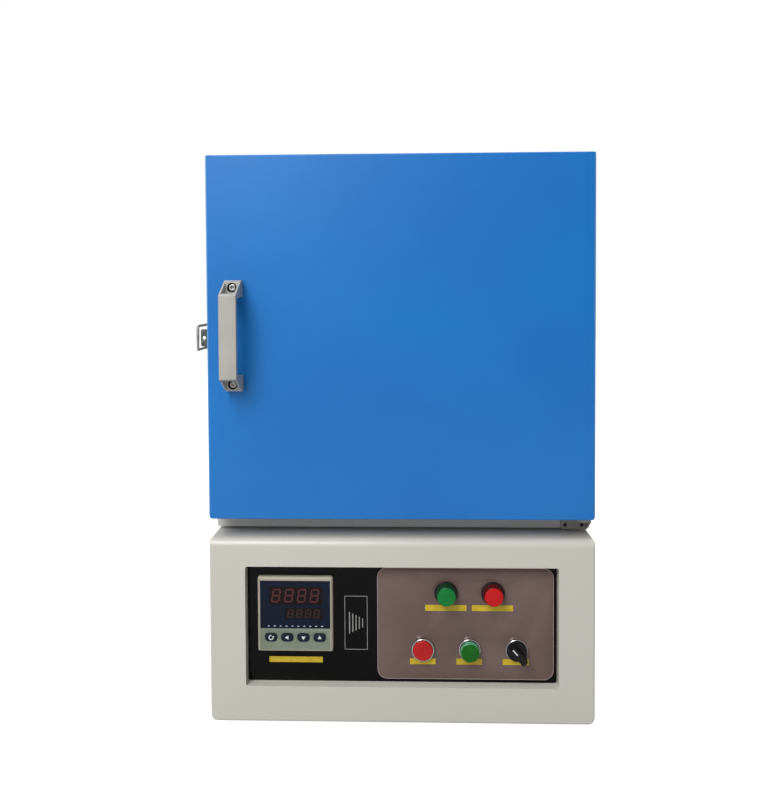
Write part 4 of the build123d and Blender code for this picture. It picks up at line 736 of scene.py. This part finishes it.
softened("start_cap", "start_button", "start_button", green_cap, rounding=0.0006, segments=3)
front_disc("start_face", "start_button", green_face, "lens_green", **START_FACE)
softened(
    "selector_lever", "selector_knob", "selector_knob", black_plastic,
    rounding=0.0008, segments=3
)

SELECTOR_MIDDLE = (146.3, 98.8)
LEVER_FACE = -5.0
LEVER_TURN = math.radians(48)
LEVER_LINE_X = (-9.9, -0.8)
LEVER_LINE_Z = (-0.7, 0.7)
LEVER_LINE_CORNER = 0.5
LEVER_PRINT = 0.1
lever_line = small_plate(LEVER_LINE_X, LEVER_LINE_Z, LEVER_FACE, LEVER_PRINT, LEVER_LINE_CORNER, segments=3)
lever_line.data.transform(Matrix.Translation(-FRAME_SHIFT))
lever_line.data.transform(Matrix.Rotation(LEVER_TURN, 4, "Y"))
lever_line.data.transform(Matrix.Translation(drawn(*SELECTOR_MIDDLE, 0)))
fixed("selector_mark", [lever_line], "selector_knob", print_white)
dress(black_plastic, "contact_blocks")

# The electrics
# A relay on an extruded aluminium sink, whose drawing marks run from front to back.
# A breaker and terminals of white plastic are clipped to a zinc-plated steel rail.
aluminium = finish(
    "extruded_aluminium", colours=((188, 190, 193), (174, 176, 180)), scales=(12, 600),
    roughness=(0.3, 0.42), metal=1.0, bump=0.08, stretch=(1, 0.05, 1)
)
white_plastic = finish(
    "white_plastic", colours=((214, 213, 206), (205, 204, 196)), scales=(40, 1500), roughness=(0.4, 0.5),
    bump=0.08
)
dress(aluminium, "relay_heat_sink")
dress(zinc, "mounting_rail")
softened("relay_housing", "solid_state_relay", "furnace", black_plastic, rounding=0.0006)
softened("breaker_housing", "circuit_breaker", "furnace", white_plastic, rounding=0.0007)
softened("terminal_housings", "terminal_block", "furnace", white_plastic, rounding=0.0004)

# The fan and the cord gland
# A square axial fan of black plastic behind the grille in the cabinet's rear panel.
# A black nylon gland sits in a hole of its own in the same panel.
softened("fan_housing", "fan_frame", "furnace", black_plastic, rounding=0.0004)
dress(black_plastic, "fan_rotor")
softened("nylon_gland", "cord_gland", "furnace", black_plastic, rounding=0.0005)

# The body
# The upper box: a wrapped steel shell, a front frame round the chamber's mouth and a louvred rear
# panel, all powder coated in the cabinet's grey.
dress(grey_enamel, "body_shell", "body_front_frame", "body_rear_panel")

# The heating chamber
# Five boards of vacuum-formed ceramic fibre make a chamber with grooved side walls, and more boards
# fill the room between it and a steel liner. Bent rods of heat-resistant alloy lie in the grooves
# and darken with use, and a fired plate covers the floor.
fibre_board = finish(
    "fibre_board", colours=((232, 229, 219), (214, 208, 192)), scales=(18, 700), roughness=(0.85, 0.95),
    bump=0.5, relief=0.0006
)
fired_ceramic = finish(
    "fired_ceramic", colours=((224, 216, 198), (196, 178, 150)), scales=(9, 500), roughness=(0.8, 0.92),
    bump=0.4, relief=0.0005
)
element_alloy = finish(
    "element_alloy", colours=((86, 80, 76), (60, 56, 54)), scales=(40, 900), roughness=(0.5, 0.7),
    metal=0.7, bump=0.3
)
liner_steel = finish(
    "liner_steel", colours=((178, 178, 174), (160, 160, 157)), scales=(8, 400), roughness=(0.35, 0.5),
    metal=1.0, bump=0.08, stretch=(1, 1, 0.05)
)
dress(fibre_board, "insulation_boards")
dress(liner_steel, "inner_liner")
dress(fired_ceramic, "muffle_chamber")
softened("hearth_slab", "hearth_plate", "furnace", fired_ceramic, rounding=0.001)
dress(element_alloy, "heating_elements")
softened("stud_clamps", "element_terminals", "furnace", white_plastic, rounding=0.0005)

# The flue and the thermocouple
# A ceramic tube goes up through the roof and ends in a turned steel collar.
# A probe in a steel sheath goes in through the back.
dress(fired_ceramic, "flue_tube")
softened("turned_collar", "flue_collar", "furnace", liner_steel, rounding=0.0006, segments=3)
dress(liner_steel, "thermocouple")

# The hinges
# Two steel brackets with lugs, painted grey and screwed to the front frame, hold zinc-plated pins.
# Brass bushes in the door's right edge turn on the pins.
bush_brass = finish(
    "bush_brass", colours=((188, 158, 92), (170, 140, 78)), scales=(50, 900), roughness=(0.25, 0.36),
    metal=1.0, bump=0.05
)
bracket_paint = finish(
    "bracket_paint", colours=((158, 154, 142), (148, 144, 132)), scales=(30, 900), roughness=(0.34, 0.44),
    bump=0.08
)
softened("plated_brackets", "hinge_brackets", "furnace", bracket_paint, rounding=0.0003)
dress(zinc, "hinge_pins")
# The bracket screws take black plastic as painted shade, for the dark holes they sit in.
dress(black_plastic, "bracket_screws")
dress(bush_brass, "hinge_bushes")

# The door
# A folded steel tray over an inner plate, with a fibre board between them. The outside is glossy
# blue enamel, with a painted highlight in paler blue on the tray's two upright sides and just inside its
# front edges.
blue_enamel = finish(
    "blue_enamel", colours=((18, 115, 191), (12, 107, 185)), scales=(5, 650), roughness=(0.34, 0.40),
    bump=0.10, relief=0.0003, Specular_IOR_Level=0.45
)
# A paler blue band over the door's two upright edges: a painted highlight.
EDGE_HIGHLIGHT_BAND = (0.2405, 0.2424)
EDGE_HIGHLIGHT_COLOUR = (120, 170, 212)
paint = blue_enamel.node_tree
base_colour = paint.nodes["Principled BSDF"].inputs["Base Color"]
full_colour = base_colour.links[0].from_socket
axes = paint.nodes.new("ShaderNodeSeparateXYZ")
feed(paint, paint.nodes.new("ShaderNodeTexCoord").outputs["Object"], axes.inputs[0])
from_middle = maths_node(paint, "SUBTRACT", axes.outputs["X"], FRAME_SHIFT.x)
edge_highlight = range_node(paint, maths_node(paint, "ABSOLUTE", from_middle), EDGE_HIGHLIGHT_BAND, (0.0, 1.0))
feed(paint, mix_node(paint, "RGBA", edge_highlight, full_colour, rgb(EDGE_HIGHLIGHT_COLOUR)), base_colour)
dress(blue_enamel, "door_skin")
dress(liner_steel, "door_inner_plate")
dress(fibre_board, "door_insulation")

# The plug and the gasket
# A block of fibre board on the inner plate fills the chamber's mouth.
# A braided ceramic rope is laid round it in a square and seals the door.
rope_braid = finish(
    "rope_braid", colours=((222, 219, 208), (196, 190, 174)), scales=(160, 420), roughness=(0.85, 0.95),
    bump=0.9, relief=0.0012
)
softened("fibre_plug", "door_plug", "door", fibre_board, rounding=0.003, segments=4)
softened("braided_rope", "door_gasket", "door", rope_braid, rounding=0.002, segments=4)

# The handle
# A moulded grey bridge with hollow sloped ends, held by two zinc-plated socket screws.
# The screws sit in counterbores, whose walls and floors are given black plastic as painted shade.
SCREW_X = -207.2
SCREW_ZS = (440.8, 560.8)
SHADED_BORE_RADIUS = 0.0061
SHADED_BORE_DEPTH = (-0.0128, -0.003)
handle_grey = finish(
    "handle_grey", colours=((174, 172, 165), (166, 164, 157)), scales=(30, 1600), roughness=(0.36, 0.46),
    bump=0.10
)
bridge = softened("bridge_handle", "handle", "door", handle_grey, rounding=0.0005, segments=3)
# Black plastic on the faces inside the two counterbores is painted shade.
bridge.data.materials.append(black_plastic)
for face in bridge.data.polygons:
    for z in SCREW_ZS:
        off = face.center - drawn(SCREW_X, z, 0)
        inside = SHADED_BORE_DEPTH[0] < off.y < SHADED_BORE_DEPTH[1]
        if inside and math.hypot(off.x, off.z) < SHADED_BORE_RADIUS:
            face.material_index = 1
softened("socket_screws", "handle_screws", "door", zinc, rounding=0.0003)

# The latch
# A bright zinc-plated bail swings on a pin in a plated base on the body's left side.
# It hooks over a plated keeper on the door's edge. Base and keeper are dull with age.
aged_plate = finish(
    "aged_plate", colours=((112, 120, 116), (78, 86, 84)), scales=(90, 900), roughness=(0.3, 0.5),
    metal=0.8, bump=0.1
)
softened("bright_bail", "latch_bail", "latch_bail", zinc, rounding=0.0006, segments=3)
softened("plated_base", "latch_base", "furnace", aged_plate, rounding=0.0003)
softened("plated_keeper", "latch_keeper", "door", aged_plate, rounding=0.0003)
